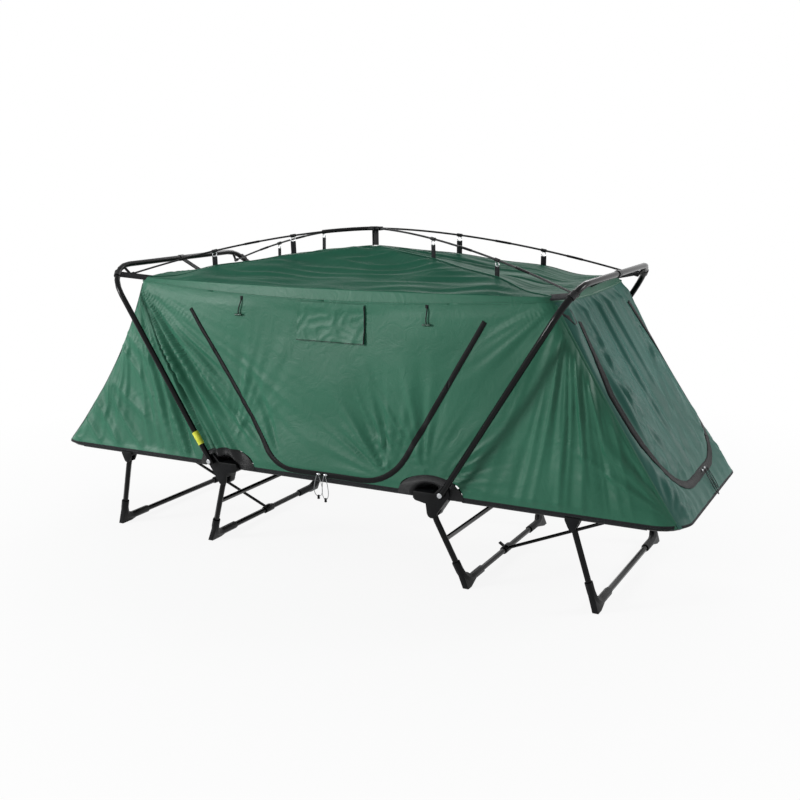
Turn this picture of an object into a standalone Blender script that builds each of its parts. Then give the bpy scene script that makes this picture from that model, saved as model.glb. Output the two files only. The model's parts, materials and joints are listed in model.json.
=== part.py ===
"""Tent cot: a folding camp bed with its own ridge tent.

Metres, +Z up. X runs along the bed, with the head end at -X and the foot
end at +X. The near side, with the door, is -Y. The ground is z = 0 and the
origin is under the middle of the bed.

The deck is three slings on a steel frame that folds in three. The end
sections turn up and over the middle one on pins in four hinge blocks. Two
hoops stand on the same pins and lean out over the end sections. Two crossed
ridge poles join the hoops' corners and hold the tent up by straps.
"""

import math

import bmesh
import bpy
from mathutils import Matrix, Vector

# Deck and frame
DECK_LENGTH = 2.286
DECK_WIDTH = 0.717
RAIL_RADIUS = 0.011
RAIL_HEIGHT = 0.2905
FRAME_CORNER = 0.075
HINGE_REACH = 0.432
PIVOT_LIFT = 0.018
TONGUE_THICKNESS = 0.008
TONGUE_RADIUS = 0.016
TONGUE_REACH = 0.042
RAIL_START = 0.030

# Slings
SLEEVE_CLOTH = 0.0015
SHEET_CLOTH = 0.0020
INNER_PLY_SHARE = 0.6
SLEEVE_LAP = 0.012
SLEEVE_INSET = 0.052
SHEET_INSET = 0.012
SHEET_SIDE_GAP = 0.004

# Hinge blocks and their pins
BLOCK_WALL = 0.005
BLOCK_INNER_REACH = 0.100
BLOCK_BOSS = 0.022
BLOCK_SOCKET_DEPTH = 0.038
BLOCK_FOOT_BOSS = 0.0165
BLOCK_EDGE_ROUND = 0.007
PIN_RADIUS = 0.004
PIN_HEAD_RADIUS = 0.008
PIN_HEAD = 0.003
LEG_PIN_RADIUS = 0.003

# Legs
LEG_RADIUS = 0.0095
LEG_BEND = 0.050
LEG_FOOT_INSET = 0.0265
LEG_TOP_SPARE = 0.007
LEG_STRAIGHT = 0.028
INNER_LEG_PIVOT = 0.395
INNER_LEG_DROP = 0.0665
INNER_LEG_FOOT = 0.484
INNER_LEG_OUTSET = 0.020
OUTER_LEG_SHARE = 0.363955
OUTER_LEG_PIVOT = DECK_LENGTH * OUTER_LEG_SHARE
OUTER_LEG_SPLAY = 0.066
OUTER_LEG_DROP = 0.0485
OUTER_LEG_FOOT = OUTER_LEG_PIVOT + OUTER_LEG_SPLAY
BRACE_RADIUS = 0.008
BRACE_DROP = 0.092
CAP_WALL = 0.0035
CAP_SLEEVE = 0.080
CAP_COLLAR = 0.030
CAP_SOLE = 0.008
HEEL_REACH = 0.022
HEEL_THICKNESS = 0.018

# Brackets that hang the outer legs from the end rails
BRACKET_WALL = 0.0035
BRACKET_LENGTH = 0.044
BRACKET_BOSS = 0.013
BRACKET_EAR = 0.004

# Stays and the clips that they rest in
STAY_RADIUS = 0.0055
STAY_ARM_RADIUS = 0.0032
STAY_SPREAD = 0.060
STAY_FORK = 0.36
STAY_EYE_WALL = 0.003
STAY_EYE_WIDTH = 0.012
HEM_NOTCH = 0.022
SADDLE_WALL = 0.003
SADDLE_WIDTH = 0.020
SADDLE_START_DEGREES = 24.0
SADDLE_END_DEGREES = 98.0
CLIP_WALL = 0.003
CLIP_WIDTH = 0.050
CLIP_TAB = 0.018
CLIP_TAB_THICKNESS = 0.004
CLIP_TAB_WIDTH = 0.014

# Hoops and ridge poles
HOOP_RADIUS = 0.0095
HOOP_TOP_SHARE = 0.365704
HOOP_TOP_REACH = DECK_LENGTH * HOOP_TOP_SHARE
HOOP_TOP_HEIGHT = 0.948
HOOP_CORNER = 0.110
HOOP_FOOT_SPARE = 0.012
POLE_RADIUS = 0.00325
POLE_RISE = 0.122
POLE_PEAK = HOOP_TOP_HEIGHT + POLE_RISE
POLE_FALL = 0.2330
POLE_FALL_SHARE = 1.236364
POLE_FALL_REACH = HOOP_TOP_REACH * POLE_FALL_SHARE
POLE_CURVE = 1.687
POLE_END_INSET = 0.024
POLE_END_REACH = HOOP_TOP_REACH - POLE_END_INSET
POLE_END_HALF_WIDTH = 0.303282
POLE_SLOPE = POLE_END_HALF_WIDTH / POLE_END_REACH
CUP_WALL = 0.0022
CUP_LENGTH = 0.014
CUP_FLOOR = 0.003
HUB_WALL = 0.0028
HUB_ARM = 0.024
FERRULE_ARM = 0.170
HUB_STRAP_WIDTH = 0.024

# Tent
CANOPY_CLOTH = 0.0020
TENT_TOP_SHARE = 0.334646
TENT_TOP_REACH = DECK_LENGTH * TENT_TOP_SHARE
TENT_TOP_HALF_WIDTH = 0.331
TENT_TOP_CORNER = 0.060
SEAM_DROP = 0.051
SEAM_HEIGHT = HOOP_TOP_HEIGHT - SEAM_DROP
SIDE_SAG = 0.034
END_SAG = 0.012
HEAD_BOW = 0.040
FOOT_BOW = 0.010
SIDE_BOW = 0.006
VALANCE_INSET = 0.010
FOLD_RISE = 0.012
FOLD_HEIGHT = SEAM_HEIGHT + FOLD_RISE
FOLD_SAG = 0.008
RIDGE_DROP = 0.058
RIDGE_HEIGHT = POLE_PEAK - RIDGE_DROP
RIDGE_CURVE = 1.3
ROOF_SAG = 0.010
PLEAT_DEPTH = 0.010
PLEAT_REACH = 0.42
ARCH_HALF = 0.080
ARCH_TOP = 0.036
PILLAR_GAP = 0.030

# Door in the near wall, door in the foot wall, and the window flap
DOOR_TOP_HALF = 0.560
DOOR_FOOT_HALF = 0.235
DOOR_FOOT_HEIGHT = 0.309
DOOR_CORNER = 0.100
FOOT_DOOR_TOP_HALF = 0.258
FOOT_DOOR_HALF = 0.296
FOOT_DOOR_WAIST_HEIGHT = 0.620
FOOT_DOOR_SILL = 0.336
FOOT_DOOR_CORNER = 0.170
FLAP_WIDTH = 0.250
FLAP_CENTRE = 0.021
FLAP_DROP = 0.045
FLAP_HEIGHT = 0.117
FLAP_TOP = SEAM_HEIGHT - FLAP_DROP
FLAP_FOOT = FLAP_TOP - FLAP_HEIGHT
FLAP_CLOTH = 0.0016

# Straps
TAPE_WIDTH = 0.016
TAPE_CLOTH = 0.0012
STRAP_WIDTH = 0.018
STRAP_CLOTH = 0.0016
LOOP_WALL = 0.0018
STRAP_REACHES = (0.265, 0.525)
TAPE_START = 0.050
TAPE_END = 0.700
TAPE_LIFT = 0.0009
TAPE_ROWS = 5
TIE_WIDTH = 0.020
TIE_CLOTH = 0.0020
TIE_LOOP_WIDTH = 0.022

# Clearances, overrun of cutters, and weld distance
GAP = 0.0003
RUNNING = 0.0004
CLOTH_GAP = 0.0005
SEAM_GAP = 0.0024
HEM_EASE = 0.006
OVERRUN = 0.010
WELD = 0.00001

# Counts
FINE = 4
MEDIUM = 3
COARSE = 2
BEND_STEPS = 6
ROUND_SIDES = 16

# Worked out from the sizes above
RAIL_OFFSET = DECK_WIDTH / 2 - RAIL_RADIUS
FRAME_END = DECK_LENGTH / 2 - RAIL_RADIUS
PIVOT_HEIGHT = RAIL_HEIGHT + PIVOT_LIFT
BORE_RADIUS = RAIL_RADIUS + GAP
SLEEVE_RADIUS = BORE_RADIUS + SLEEVE_CLOTH
SHEET_HEIGHT = RAIL_HEIGHT + SLEEVE_RADIUS * 0.8
LEG_SLOT_HALF = LEG_RADIUS + RUNNING
LEG_TOP_CLEAR = math.hypot(LEG_RADIUS, LEG_TOP_SPARE) + RUNNING
INNER_LEG_OFFSET = RAIL_OFFSET + INNER_LEG_OUTSET
BLOCK_INNER_FACE = RAIL_OFFSET - BORE_RADIUS - BLOCK_WALL
BLOCK_OUTER_FACE = INNER_LEG_OFFSET + LEG_SLOT_HALF + BLOCK_WALL
HOOP_OFFSET = BLOCK_OUTER_FACE + RUNNING + HOOP_RADIUS
BAR_HEIGHT = CAP_SOLE + LEG_RADIUS
LEG_FOOT_OFFSET = RAIL_OFFSET - LEG_FOOT_INSET + LEG_RADIUS
HEM_OFFSET = RAIL_OFFSET + SLEEVE_RADIUS + GAP + CANOPY_CLOTH
HEM_REACH = FRAME_END + SLEEVE_RADIUS + GAP + CANOPY_CLOTH + HEM_EASE
HEM_CORNER = FRAME_CORNER + SLEEVE_RADIUS + GAP + CANOPY_CLOTH
SIDES = ((-1, "head"), (1, "foot"))
FLANKS = ((-1, "near"), (1, "far"))

for item in list(bpy.data.objects):
    bpy.data.objects.remove(item, do_unlink=True)
parts = bpy.data.collections.new("tent_cot")
cutters = bpy.data.collections.new("cutters")
bpy.context.scene.collection.children.link(parts)
bpy.context.scene.collection.children.link(cutters)


def material(name, colour, roughness, metallic=0.0):
    made = bpy.data.materials.new(name)
    made.use_nodes = True
    shader = made.node_tree.nodes["Principled BSDF"]
    shader.inputs["Base Color"].default_value = (*colour, 1.0)
    shader.inputs["Roughness"].default_value = roughness
    shader.inputs["Metallic"].default_value = metallic
    return made


GREEN = (0.050, 0.171, 0.107)
GREY_GREEN = (0.098, 0.216, 0.181)
BLACK = (0.010, 0.010, 0.011)
STEEL = (0.560, 0.560, 0.570)


def add(name, data, colour=None, roughness=0.5, metallic=0.0, origin=(0, 0, 0), where=parts):
    made = bpy.data.objects.new(name, data)
    made.location = origin
    where.objects.link(made)
    if where is cutters:
        made.hide_render = True
        made.display_type = "WIRE"
    elif colour:
        data.materials.append(material(name, colour, roughness, metallic))
    return made


def fillet(points, radii, steps, closed=False):
    """Straight runs through the points, with an arc of the given radius at each corner."""
    found = []
    count = len(points)
    for i, point in enumerate(points):
        here = Vector(point)
        radius = radii[i] if isinstance(radii, (list, tuple)) else radii
        if radius == 0 or (not closed and i in (0, count - 1)):
            found.append(here)
            continue
        back = (Vector(points[i - 1]) - here).normalized()
        onward = (Vector(points[(i + 1) % count]) - here).normalized()
        half = back.angle(onward) / 2
        run = radius / math.tan(half)
        centre = here + (back + onward).normalized() * (radius / math.sin(half))
        first = (here + back * run - centre).normalized()
        last = (here + onward * run - centre).normalized()
        for k in range(steps + 1):
            found.append(centre + first.slerp(last, k / steps) * radius)
    return found


def tube(name, path, radius, level, colour=None, origin=(0, 0, 0), where=parts, roughness=0.35, closed=False):
    curve = bpy.data.curves.new(name, "CURVE")
    curve.dimensions = "3D"
    curve.bevel_depth = radius
    curve.bevel_resolution = level
    curve.use_fill_caps = not closed
    spline = curve.splines.new("POLY")
    spline.points.add(len(path) - 1)
    start = Vector(origin)
    for point, place in zip(spline.points, path):
        point.co = (*(Vector(place) - start), 1.0)
    spline.use_cyclic_u = closed
    return add(name, curve, colour, roughness, 0.0, origin, where)


def plate(name, outline, thickness, turn, origin, colour=None, where=cutters, roughness=0.5):
    """A flat outline, extruded by half its thickness each way. turn stands it in the plane wanted."""
    curve = bpy.data.curves.new(name, "CURVE")
    curve.dimensions = "2D"
    curve.fill_mode = "BOTH"
    curve.extrude = thickness / 2
    spline = curve.splines.new("POLY")
    spline.points.add(len(outline) - 1)
    for point, place in zip(spline.points, outline):
        point.co = (place[0], place[1], 0.0, 1.0)
    spline.use_cyclic_u = True
    made = add(name, curve, colour, roughness, 0.0, origin, where)
    made.rotation_euler = turn
    return made


UPRIGHT_X = (math.pi / 2, 0, 0)
UPRIGHT_Y = (math.pi / 2, 0, math.pi / 2)


def as_mesh(made, smooth=True):
    """The same object as a mesh, with its caps welded."""
    bpy.context.view_layer.update()
    seen = made.evaluated_get(bpy.context.evaluated_depsgraph_get())
    data = bpy.data.meshes.new_from_object(seen)
    world = made.matrix_world.copy()
    name, homes, old = made.name, list(made.users_collection), made.data
    slots = list(old.materials)
    bpy.data.objects.remove(made, do_unlink=True)
    data.name = name
    form = bmesh.new()
    form.from_mesh(data)
    bmesh.ops.remove_doubles(form, verts=form.verts, dist=WELD)
    bmesh.ops.recalc_face_normals(form, faces=form.faces)
    if form.calc_volume(signed=True) < 0:
        bmesh.ops.reverse_faces(form, faces=form.faces)
    form.to_mesh(data)
    form.free()
    data.materials.clear()
    for slot in slots:
        data.materials.append(slot)
    if smooth:
        data.shade_smooth()
        data.set_sharp_from_angle(angle=math.radians(40))
    fresh = bpy.data.objects.new(name, data)
    fresh.matrix_world = world
    for home in homes:
        home.objects.link(fresh)
        if home is cutters:
            fresh.hide_render = True
            fresh.display_type = "WIRE"
    return fresh


def cylinder(name, start, end, radius, sides=ROUND_SIDES, where=cutters, colour=None, roughness=0.4, metallic=0.0):
    """A cylinder from one point to another, with its origin at its middle."""
    start, end = Vector(start), Vector(end)
    data = bpy.data.meshes.new(name)
    form = bmesh.new()
    bmesh.ops.create_cone(
        form,
        cap_ends=True,
        segments=sides,
        radius1=radius,
        radius2=radius,
        depth=(end - start).length,
    )
    turn = Vector((0, 0, 1)).rotation_difference(end - start).to_matrix()
    bmesh.ops.rotate(form, cent=(0, 0, 0), matrix=turn, verts=form.verts)
    form.to_mesh(data)
    form.free()
    data.shade_smooth()
    data.set_sharp_from_angle(angle=math.radians(40))
    return add(name, data, colour, roughness, metallic, (start + end) / 2, where)


def block(name, low, high, where=cutters, colour=None, roughness=0.5):
    low, high = Vector(low), Vector(high)
    data = bpy.data.meshes.new(name)
    form = bmesh.new()
    bmesh.ops.create_cube(form, size=1)
    bmesh.ops.scale(form, vec=high - low, verts=form.verts)
    form.to_mesh(data)
    form.free()
    return add(name, data, colour, roughness, 0.0, (low + high) / 2, where)


def change(made, other, operation):
    step = made.modifiers.new(other.name, "BOOLEAN")
    step.operation = operation
    step.object = other
    step.solver = "EXACT"
    return made


def cut(made, *others):
    for other in others:
        change(made, other, "DIFFERENCE")
    return made


def fuse(made, *others):
    for other in others:
        change(made, other, "UNION")
    return made


# Middle section's rails
for flank, flank_name in FLANKS:
    rail_end = HINGE_REACH - BLOCK_INNER_REACH + BLOCK_SOCKET_DEPTH
    y = flank * RAIL_OFFSET
    tube(
        f"centre_rail_{flank_name}",
        [(-rail_end, y, RAIL_HEIGHT), (0, y, RAIL_HEIGHT), (rail_end, y, RAIL_HEIGHT)],
        RAIL_RADIUS,
        FINE,
        BLACK,
        (0, y, RAIL_HEIGHT),
    )


def rounded_tongue(side):
    """The flattened end of an end rail: an eye round the pin, and a tail into the rail."""
    steps = range(ROUND_SIDES // 2 + 1)
    eye = []
    for k in steps:
        angle = math.pi / 2 + math.pi * k / (ROUND_SIDES // 2)
        eye.append((TONGUE_RADIUS * math.cos(angle), TONGUE_RADIUS * math.sin(angle)))
    low = -PIVOT_LIFT - RAIL_RADIUS / 2
    high = -PIVOT_LIFT + RAIL_RADIUS / 2
    tail = [(RAIL_START, low), (TONGUE_REACH, low), (TONGUE_REACH, high), (RAIL_START, high)]
    outline = eye + tail
    if side < 0:
        outline = [(-a, b) for a, b in reversed(outline)]
    return outline


# End sections' frames: a bent tube with a tongue at each end
for side, side_name in SIDES:
    start = HINGE_REACH + RAIL_START
    path = fillet(
        [
            (side * start, -RAIL_OFFSET, RAIL_HEIGHT),
            (side * FRAME_END, -RAIL_OFFSET, RAIL_HEIGHT),
            (side * FRAME_END, RAIL_OFFSET, RAIL_HEIGHT),
            (side * start, RAIL_OFFSET, RAIL_HEIGHT),
        ],
        FRAME_CORNER,
        BEND_STEPS,
    )
    pivot = (side * HINGE_REACH, 0, PIVOT_HEIGHT)
    frame = as_mesh(tube(f"{side_name}_frame", path, RAIL_RADIUS, FINE, BLACK, pivot))
    for flank, flank_name in FLANKS:
        y = flank * RAIL_OFFSET
        place = (side * HINGE_REACH, y, PIVOT_HEIGHT)
        tongue = as_mesh(
            plate(f"tongue_{side_name}_{flank_name}", rounded_tongue(side), TONGUE_THICKNESS, UPRIGHT_X, place)
        )
        hole = cylinder(
            f"tongue_hole_{side_name}_{flank_name}",
            (side * HINGE_REACH, y - TONGUE_THICKNESS, PIVOT_HEIGHT),
            (side * HINGE_REACH, y + TONGUE_THICKNESS, PIVOT_HEIGHT),
            PIN_RADIUS + RUNNING,
        )
        fuse(frame, tongue)
        cut(frame, hole)


def block_outline(side):
    """Side view of a hinge block, from its pivot: a boss round the pin, a socket
    for the middle rail and an ear that takes the leg."""
    ear_x = INNER_LEG_PIVOT - HINGE_REACH
    ear_z = -INNER_LEG_DROP
    socket_low = -PIVOT_LIFT - BORE_RADIUS - BLOCK_WALL / 2
    socket_high = -PIVOT_LIFT + BORE_RADIUS + BLOCK_WALL * 2 / 3
    boss = []
    for k in range(7):
        angle = math.radians(100 - k * 25)
        boss.append((BLOCK_BOSS * math.cos(angle), BLOCK_BOSS * math.sin(angle)))
    ear = []
    for k in range(6):
        angle = math.radians(-10 - k * 32)
        ear.append((ear_x + BLOCK_FOOT_BOSS * math.cos(angle), ear_z + BLOCK_FOOT_BOSS * math.sin(angle)))
    inner = [
        (ear_x - BLOCK_FOOT_BOSS - BLOCK_EDGE_ROUND / 2, socket_low - BLOCK_EDGE_ROUND),
        (-BLOCK_INNER_REACH + BLOCK_EDGE_ROUND, socket_low),
        (-BLOCK_INNER_REACH, socket_low + BLOCK_EDGE_ROUND),
        (-BLOCK_INNER_REACH, socket_high - BLOCK_EDGE_ROUND / 2),
        (-BLOCK_INNER_REACH + BLOCK_EDGE_ROUND / 2, socket_high),
        (-BLOCK_BOSS - BLOCK_EDGE_ROUND, socket_high),
    ]
    outline = boss + ear + inner
    if side < 0:
        outline = [(-a, b) for a, b in reversed(outline)]
    return outline


# Hinge blocks and their pins
for side, side_name in SIDES:
    for flank, flank_name in FLANKS:
        where = f"{side_name}_{flank_name}"
        faces = sorted((flank * BLOCK_INNER_FACE, flank * BLOCK_OUTER_FACE))
        pivot_x = side * HINGE_REACH
        ear_x = side * INNER_LEG_PIVOT
        ear_z = PIVOT_HEIGHT - INNER_LEG_DROP
        y = flank * RAIL_OFFSET
        leg_y = flank * INNER_LEG_OFFSET
        body = as_mesh(
            plate(
                f"hinge_block_{where}",
                block_outline(side),
                faces[1] - faces[0],
                UPRIGHT_X,
                (pivot_x, sum(faces) / 2, PIVOT_HEIGHT),
                BLACK,
                parts,
                0.45,
            )
        )
        socket = cylinder(
            f"socket_{where}",
            (side * (HINGE_REACH - BLOCK_INNER_REACH - OVERRUN), y, RAIL_HEIGHT),
            (side * (HINGE_REACH - BLOCK_INNER_REACH + BLOCK_SOCKET_DEPTH + GAP), y, RAIL_HEIGHT),
            BORE_RADIUS + GAP,
        )
        slot_half = TONGUE_THICKNESS / 2 + RUNNING
        slot_xs = sorted((side * (HINGE_REACH - BLOCK_BOSS - GAP * 2), side * (HINGE_REACH + BLOCK_BOSS + OVERRUN)))
        slot = block(
            f"tongue_slot_{where}",
            (slot_xs[0], y - slot_half, RAIL_HEIGHT - RAIL_RADIUS / 2 - RUNNING * 2),
            (slot_xs[1], y + slot_half, PIVOT_HEIGHT + BLOCK_BOSS + OVERRUN),
        )
        leg_slot = block(
            f"leg_slot_{where}",
            (ear_x - INNER_LEG_DROP, leg_y - LEG_SLOT_HALF, ear_z - BLOCK_FOOT_BOSS - OVERRUN),
            (ear_x + INNER_LEG_DROP, leg_y + LEG_SLOT_HALF, ear_z + LEG_TOP_CLEAR),
        )
        pin_hole = cylinder(
            f"pin_hole_{where}",
            (pivot_x, faces[0] - OVERRUN, PIVOT_HEIGHT),
            (pivot_x, faces[1] + OVERRUN, PIVOT_HEIGHT),
            PIN_RADIUS + GAP,
        )
        leg_pin = cylinder(
            f"leg_pin_{where}",
            (ear_x, leg_y - LEG_SLOT_HALF - BLOCK_WALL / 2, ear_z),
            (ear_x, leg_y + LEG_SLOT_HALF + BLOCK_WALL / 2, ear_z),
            LEG_PIN_RADIUS,
            ROUND_SIDES // 2,
        )
        cut(body, socket, slot, leg_slot, pin_hole)
        fuse(body, leg_pin)
        shank_start = flank * (BLOCK_INNER_FACE - GAP)
        shank_end = flank * (HOOP_OFFSET + HOOP_RADIUS + GAP)
        pin = cylinder(
            f"hinge_pin_{where}",
            (pivot_x, shank_start - flank * PIN_HEAD / 2, PIVOT_HEIGHT),
            (pivot_x, shank_end + flank * PIN_HEAD / 2, PIVOT_HEIGHT),
            PIN_RADIUS,
            ROUND_SIDES - 4,
            parts,
            STEEL,
            0.3,
            1.0,
        )
        for end, way in ((shank_start, -flank), (shank_end, flank)):
            head = cylinder(
                f"pin_head_{where}_{'in' if way == -flank else 'out'}",
                (pivot_x, end, PIVOT_HEIGHT),
                (pivot_x, end + way * PIN_HEAD, PIVOT_HEIGHT),
                PIN_HEAD_RADIUS,
                ROUND_SIDES - 4,
            )
            fuse(pin, head)

# Slings: a sheet between the rails, with a sleeve round each rail
sheet_narrow = BLOCK_INNER_FACE - SHEET_SIDE_GAP


def sleeve_profile(flank):
    """Cross section of a sleeve: a ring with a flange towards the sheet, and its bore."""
    half_cloth = SHEET_CLOTH * INNER_PLY_SHARE / 2
    high = SHEET_HEIGHT - RAIL_HEIGHT
    first = math.asin((high + half_cloth) / SLEEVE_RADIUS)
    last = 2 * math.pi + math.asin((high - half_cloth) / SLEEVE_RADIUS)
    ring = []
    for k in range(ROUND_SIDES):
        angle = first + (last - first) * k / (ROUND_SIDES - 1)
        ring.append((-RAIL_OFFSET + SLEEVE_RADIUS * math.cos(angle), SLEEVE_RADIUS * math.sin(angle)))
    ring.append((SLEEVE_LAP - sheet_narrow, high - half_cloth))
    ring.append((SLEEVE_LAP - sheet_narrow, high + half_cloth))
    radius = BORE_RADIUS / math.cos(math.pi / ROUND_SIDES)
    bore = []
    for k in range(ROUND_SIDES):
        angle = 2 * math.pi * k / ROUND_SIDES
        bore.append((radius * math.cos(angle) - RAIL_OFFSET, radius * math.sin(angle)))
    if flank > 0:
        ring = [(-y, z) for y, z in reversed(ring)]
        bore = [(-y, z) for y, z in reversed(bore)]
    return ring, bore


def sling(name, low, high, sleeve_low, sleeve_high, origin, round_end):
    """A sheet that runs between the two ends of its section, with a sleeve on each rail."""
    corner = FRAME_CORNER - RAIL_RADIUS
    points = [(low, -sheet_narrow, 0), (high, -sheet_narrow, 0), (high, sheet_narrow, 0), (low, sheet_narrow, 0)]
    bends = [corner if round_end == way else 0 for way in (-1, 1, 1, -1)]
    rounded = [(v.x - origin[0], v.y) for v in fillet(points, bends, BEND_STEPS - 3, True)]
    place = (origin[0], origin[1], SHEET_HEIGHT)
    sheet = as_mesh(plate(name, rounded, SHEET_CLOTH, (0, 0, 0), place, BLACK, parts, 0.85), False)
    middle = (sleeve_low + sleeve_high) / 2
    for flank, flank_name in FLANKS:
        ring, bore = sleeve_profile(flank)
        made = plate(
            f"{name}_sleeve_{flank_name}", ring, sleeve_high - sleeve_low, UPRIGHT_Y, (middle, 0, RAIL_HEIGHT)
        )
        spline = made.data.splines.new("POLY")
        spline.points.add(len(bore) - 1)
        for point, at in zip(spline.points, bore):
            point.co = (at[0], at[1], 0.0, 1.0)
        spline.use_cyclic_u = True
        fuse(sheet, as_mesh(made))
    return sheet


middle_sleeve = HINGE_REACH - BLOCK_INNER_REACH - GAP * 10
sling(
    "sling_centre",
    -HINGE_REACH + SHEET_INSET,
    HINGE_REACH - SHEET_INSET,
    -middle_sleeve,
    middle_sleeve,
    (0, 0),
    0,
)
for side, side_name in SIDES:
    ends = sorted((side * (HINGE_REACH + SHEET_INSET), side * (FRAME_END - RAIL_RADIUS - GAP * 3)))
    sleeves = sorted((side * (HINGE_REACH + SLEEVE_INSET), side * (FRAME_END - FRAME_CORNER - SLEEVE_LAP)))
    sling(f"sling_{side_name}", ends[0], ends[1], sleeves[0], sleeves[1], (side * HINGE_REACH, 0), side)


def leg_set(name, side, pivot_x, pivot_z, foot_x, top_offset, braced):
    """A U-shaped leg with its cross bar on the ground, drawn hanging straight down
    from its axis and then leaned out, with a cap on each corner."""
    reach = foot_x - pivot_x
    fall = pivot_z - BAR_HEIGHT
    length = math.hypot(reach, fall)
    lean = -side * math.atan2(reach, fall)
    axis = Vector((side * pivot_x, 0, pivot_z))
    turn = Matrix.Translation(axis) @ Matrix.Rotation(lean, 4, "Y")
    path = fillet(
        [
            (0, -top_offset, LEG_TOP_SPARE),
            (0, -top_offset, -LEG_STRAIGHT),
            (0, -LEG_FOOT_OFFSET, -length),
            (0, LEG_FOOT_OFFSET, -length),
            (0, top_offset, -LEG_STRAIGHT),
            (0, top_offset, LEG_TOP_SPARE),
        ],
        [0, 0, LEG_BEND, LEG_BEND, 0, 0],
        BEND_STEPS - 3,
    )
    leg = as_mesh(tube(f"leg_{name}", path, LEG_RADIUS, COARSE, BLACK))
    leg.matrix_world = turn
    for flank, flank_name in FLANKS:
        hole = cylinder(
            f"leg_hole_{name}_{flank_name}",
            (0, flank * top_offset - LEG_RADIUS * 2, 0),
            (0, flank * top_offset + LEG_RADIUS * 2, 0),
            LEG_PIN_RADIUS + RUNNING,
            ROUND_SIDES // 2,
        )
        hole.matrix_world = turn @ hole.matrix_basis
        cut(leg, hole)
    if braced:
        at = (BRACE_DROP - LEG_STRAIGHT) / (length - LEG_STRAIGHT)
        brace_half = top_offset + (LEG_FOOT_OFFSET - top_offset) * at
        brace = cylinder(
            f"leg_brace_{name}",
            (0, -brace_half, -BRACE_DROP),
            (0, brace_half, -BRACE_DROP),
            BRACE_RADIUS,
            ROUND_SIDES - 4,
        )
        brace.matrix_world = turn @ brace.matrix_basis
        fuse(leg, brace)
    splay = math.atan2(top_offset - LEG_FOOT_OFFSET, length - LEG_STRAIGHT)
    sole = block(
        f"ground_{name}",
        (side * foot_x - HEEL_REACH * 6, -RAIL_OFFSET * 2, -HEEL_REACH * 6),
        (side * foot_x + HEEL_REACH * 6, RAIL_OFFSET * 2, 0),
    )
    for flank, flank_name in FLANKS:
        corner = Vector((0, flank * LEG_FOOT_OFFSET, -length))
        along_leg = Vector((0, flank * math.sin(splay), math.cos(splay)))
        along_bar = Vector((0, -flank, 0))
        opening = along_leg.angle(along_bar)
        run = LEG_BEND / math.tan(opening / 2)
        first = corner + along_leg * (run + CAP_COLLAR)
        last = corner + along_bar * (run + CAP_SLEEVE)
        sleeve_path = fillet([first, corner, last], LEG_BEND, BEND_STEPS - 3)
        cap = as_mesh(
            tube(f"foot_cap_{name}_{flank_name}", sleeve_path, LEG_RADIUS + GAP + CAP_WALL, COARSE, BLACK)
        )
        cap.matrix_world = turn
        heel_side = LEG_RADIUS + CAP_WALL
        outline = [
            (flank * (LEG_FOOT_OFFSET + heel_side * 0.9), -length + LEG_BEND * 0.8),
            (flank * (LEG_FOOT_OFFSET + heel_side * 0.9), -length - HEEL_REACH),
            (flank * (LEG_FOOT_OFFSET - heel_side), -length - HEEL_REACH),
            (flank * (LEG_FOOT_OFFSET - LEG_BEND * 1.2), -length - LEG_RADIUS),
            (flank * (LEG_FOOT_OFFSET - LEG_BEND * 0.45), -length + LEG_BEND * 0.45),
        ]
        heel = as_mesh(
            plate(f"heel_{name}_{flank_name}", outline, HEEL_THICKNESS, UPRIGHT_Y, (0, 0, 0)), False
        )
        heel.matrix_world = turn @ heel.matrix_world
        core = as_mesh(
            tube(
                f"cap_core_{name}_{flank_name}",
                fillet(
                    [corner + along_leg * length / 2, corner, corner + along_bar * LEG_FOOT_OFFSET / 2],
                    LEG_BEND,
                    BEND_STEPS - 3,
                ),
                LEG_RADIUS + GAP * 2,
                COARSE,
                None,
                (0, 0, 0),
                cutters,
            )
        )
        core.matrix_world = turn
        fuse(cap, heel)
        cut(cap, core, sole)
    return turn, length, lean


def bracket_outline():
    half = BRACKET_LENGTH / 2
    ear = [
        (BRACKET_BOSS * math.cos(math.radians(a)), -OUTER_LEG_DROP + PIVOT_LIFT + BRACKET_BOSS * math.sin(math.radians(a)))
        for a in (-10, -50, -90, -130, -170)
    ]
    return [(-half, 0), (-half, -SLEEVE_RADIUS)] + ear[::-1] + [(half, -SLEEVE_RADIUS), (half, 0)]


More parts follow.
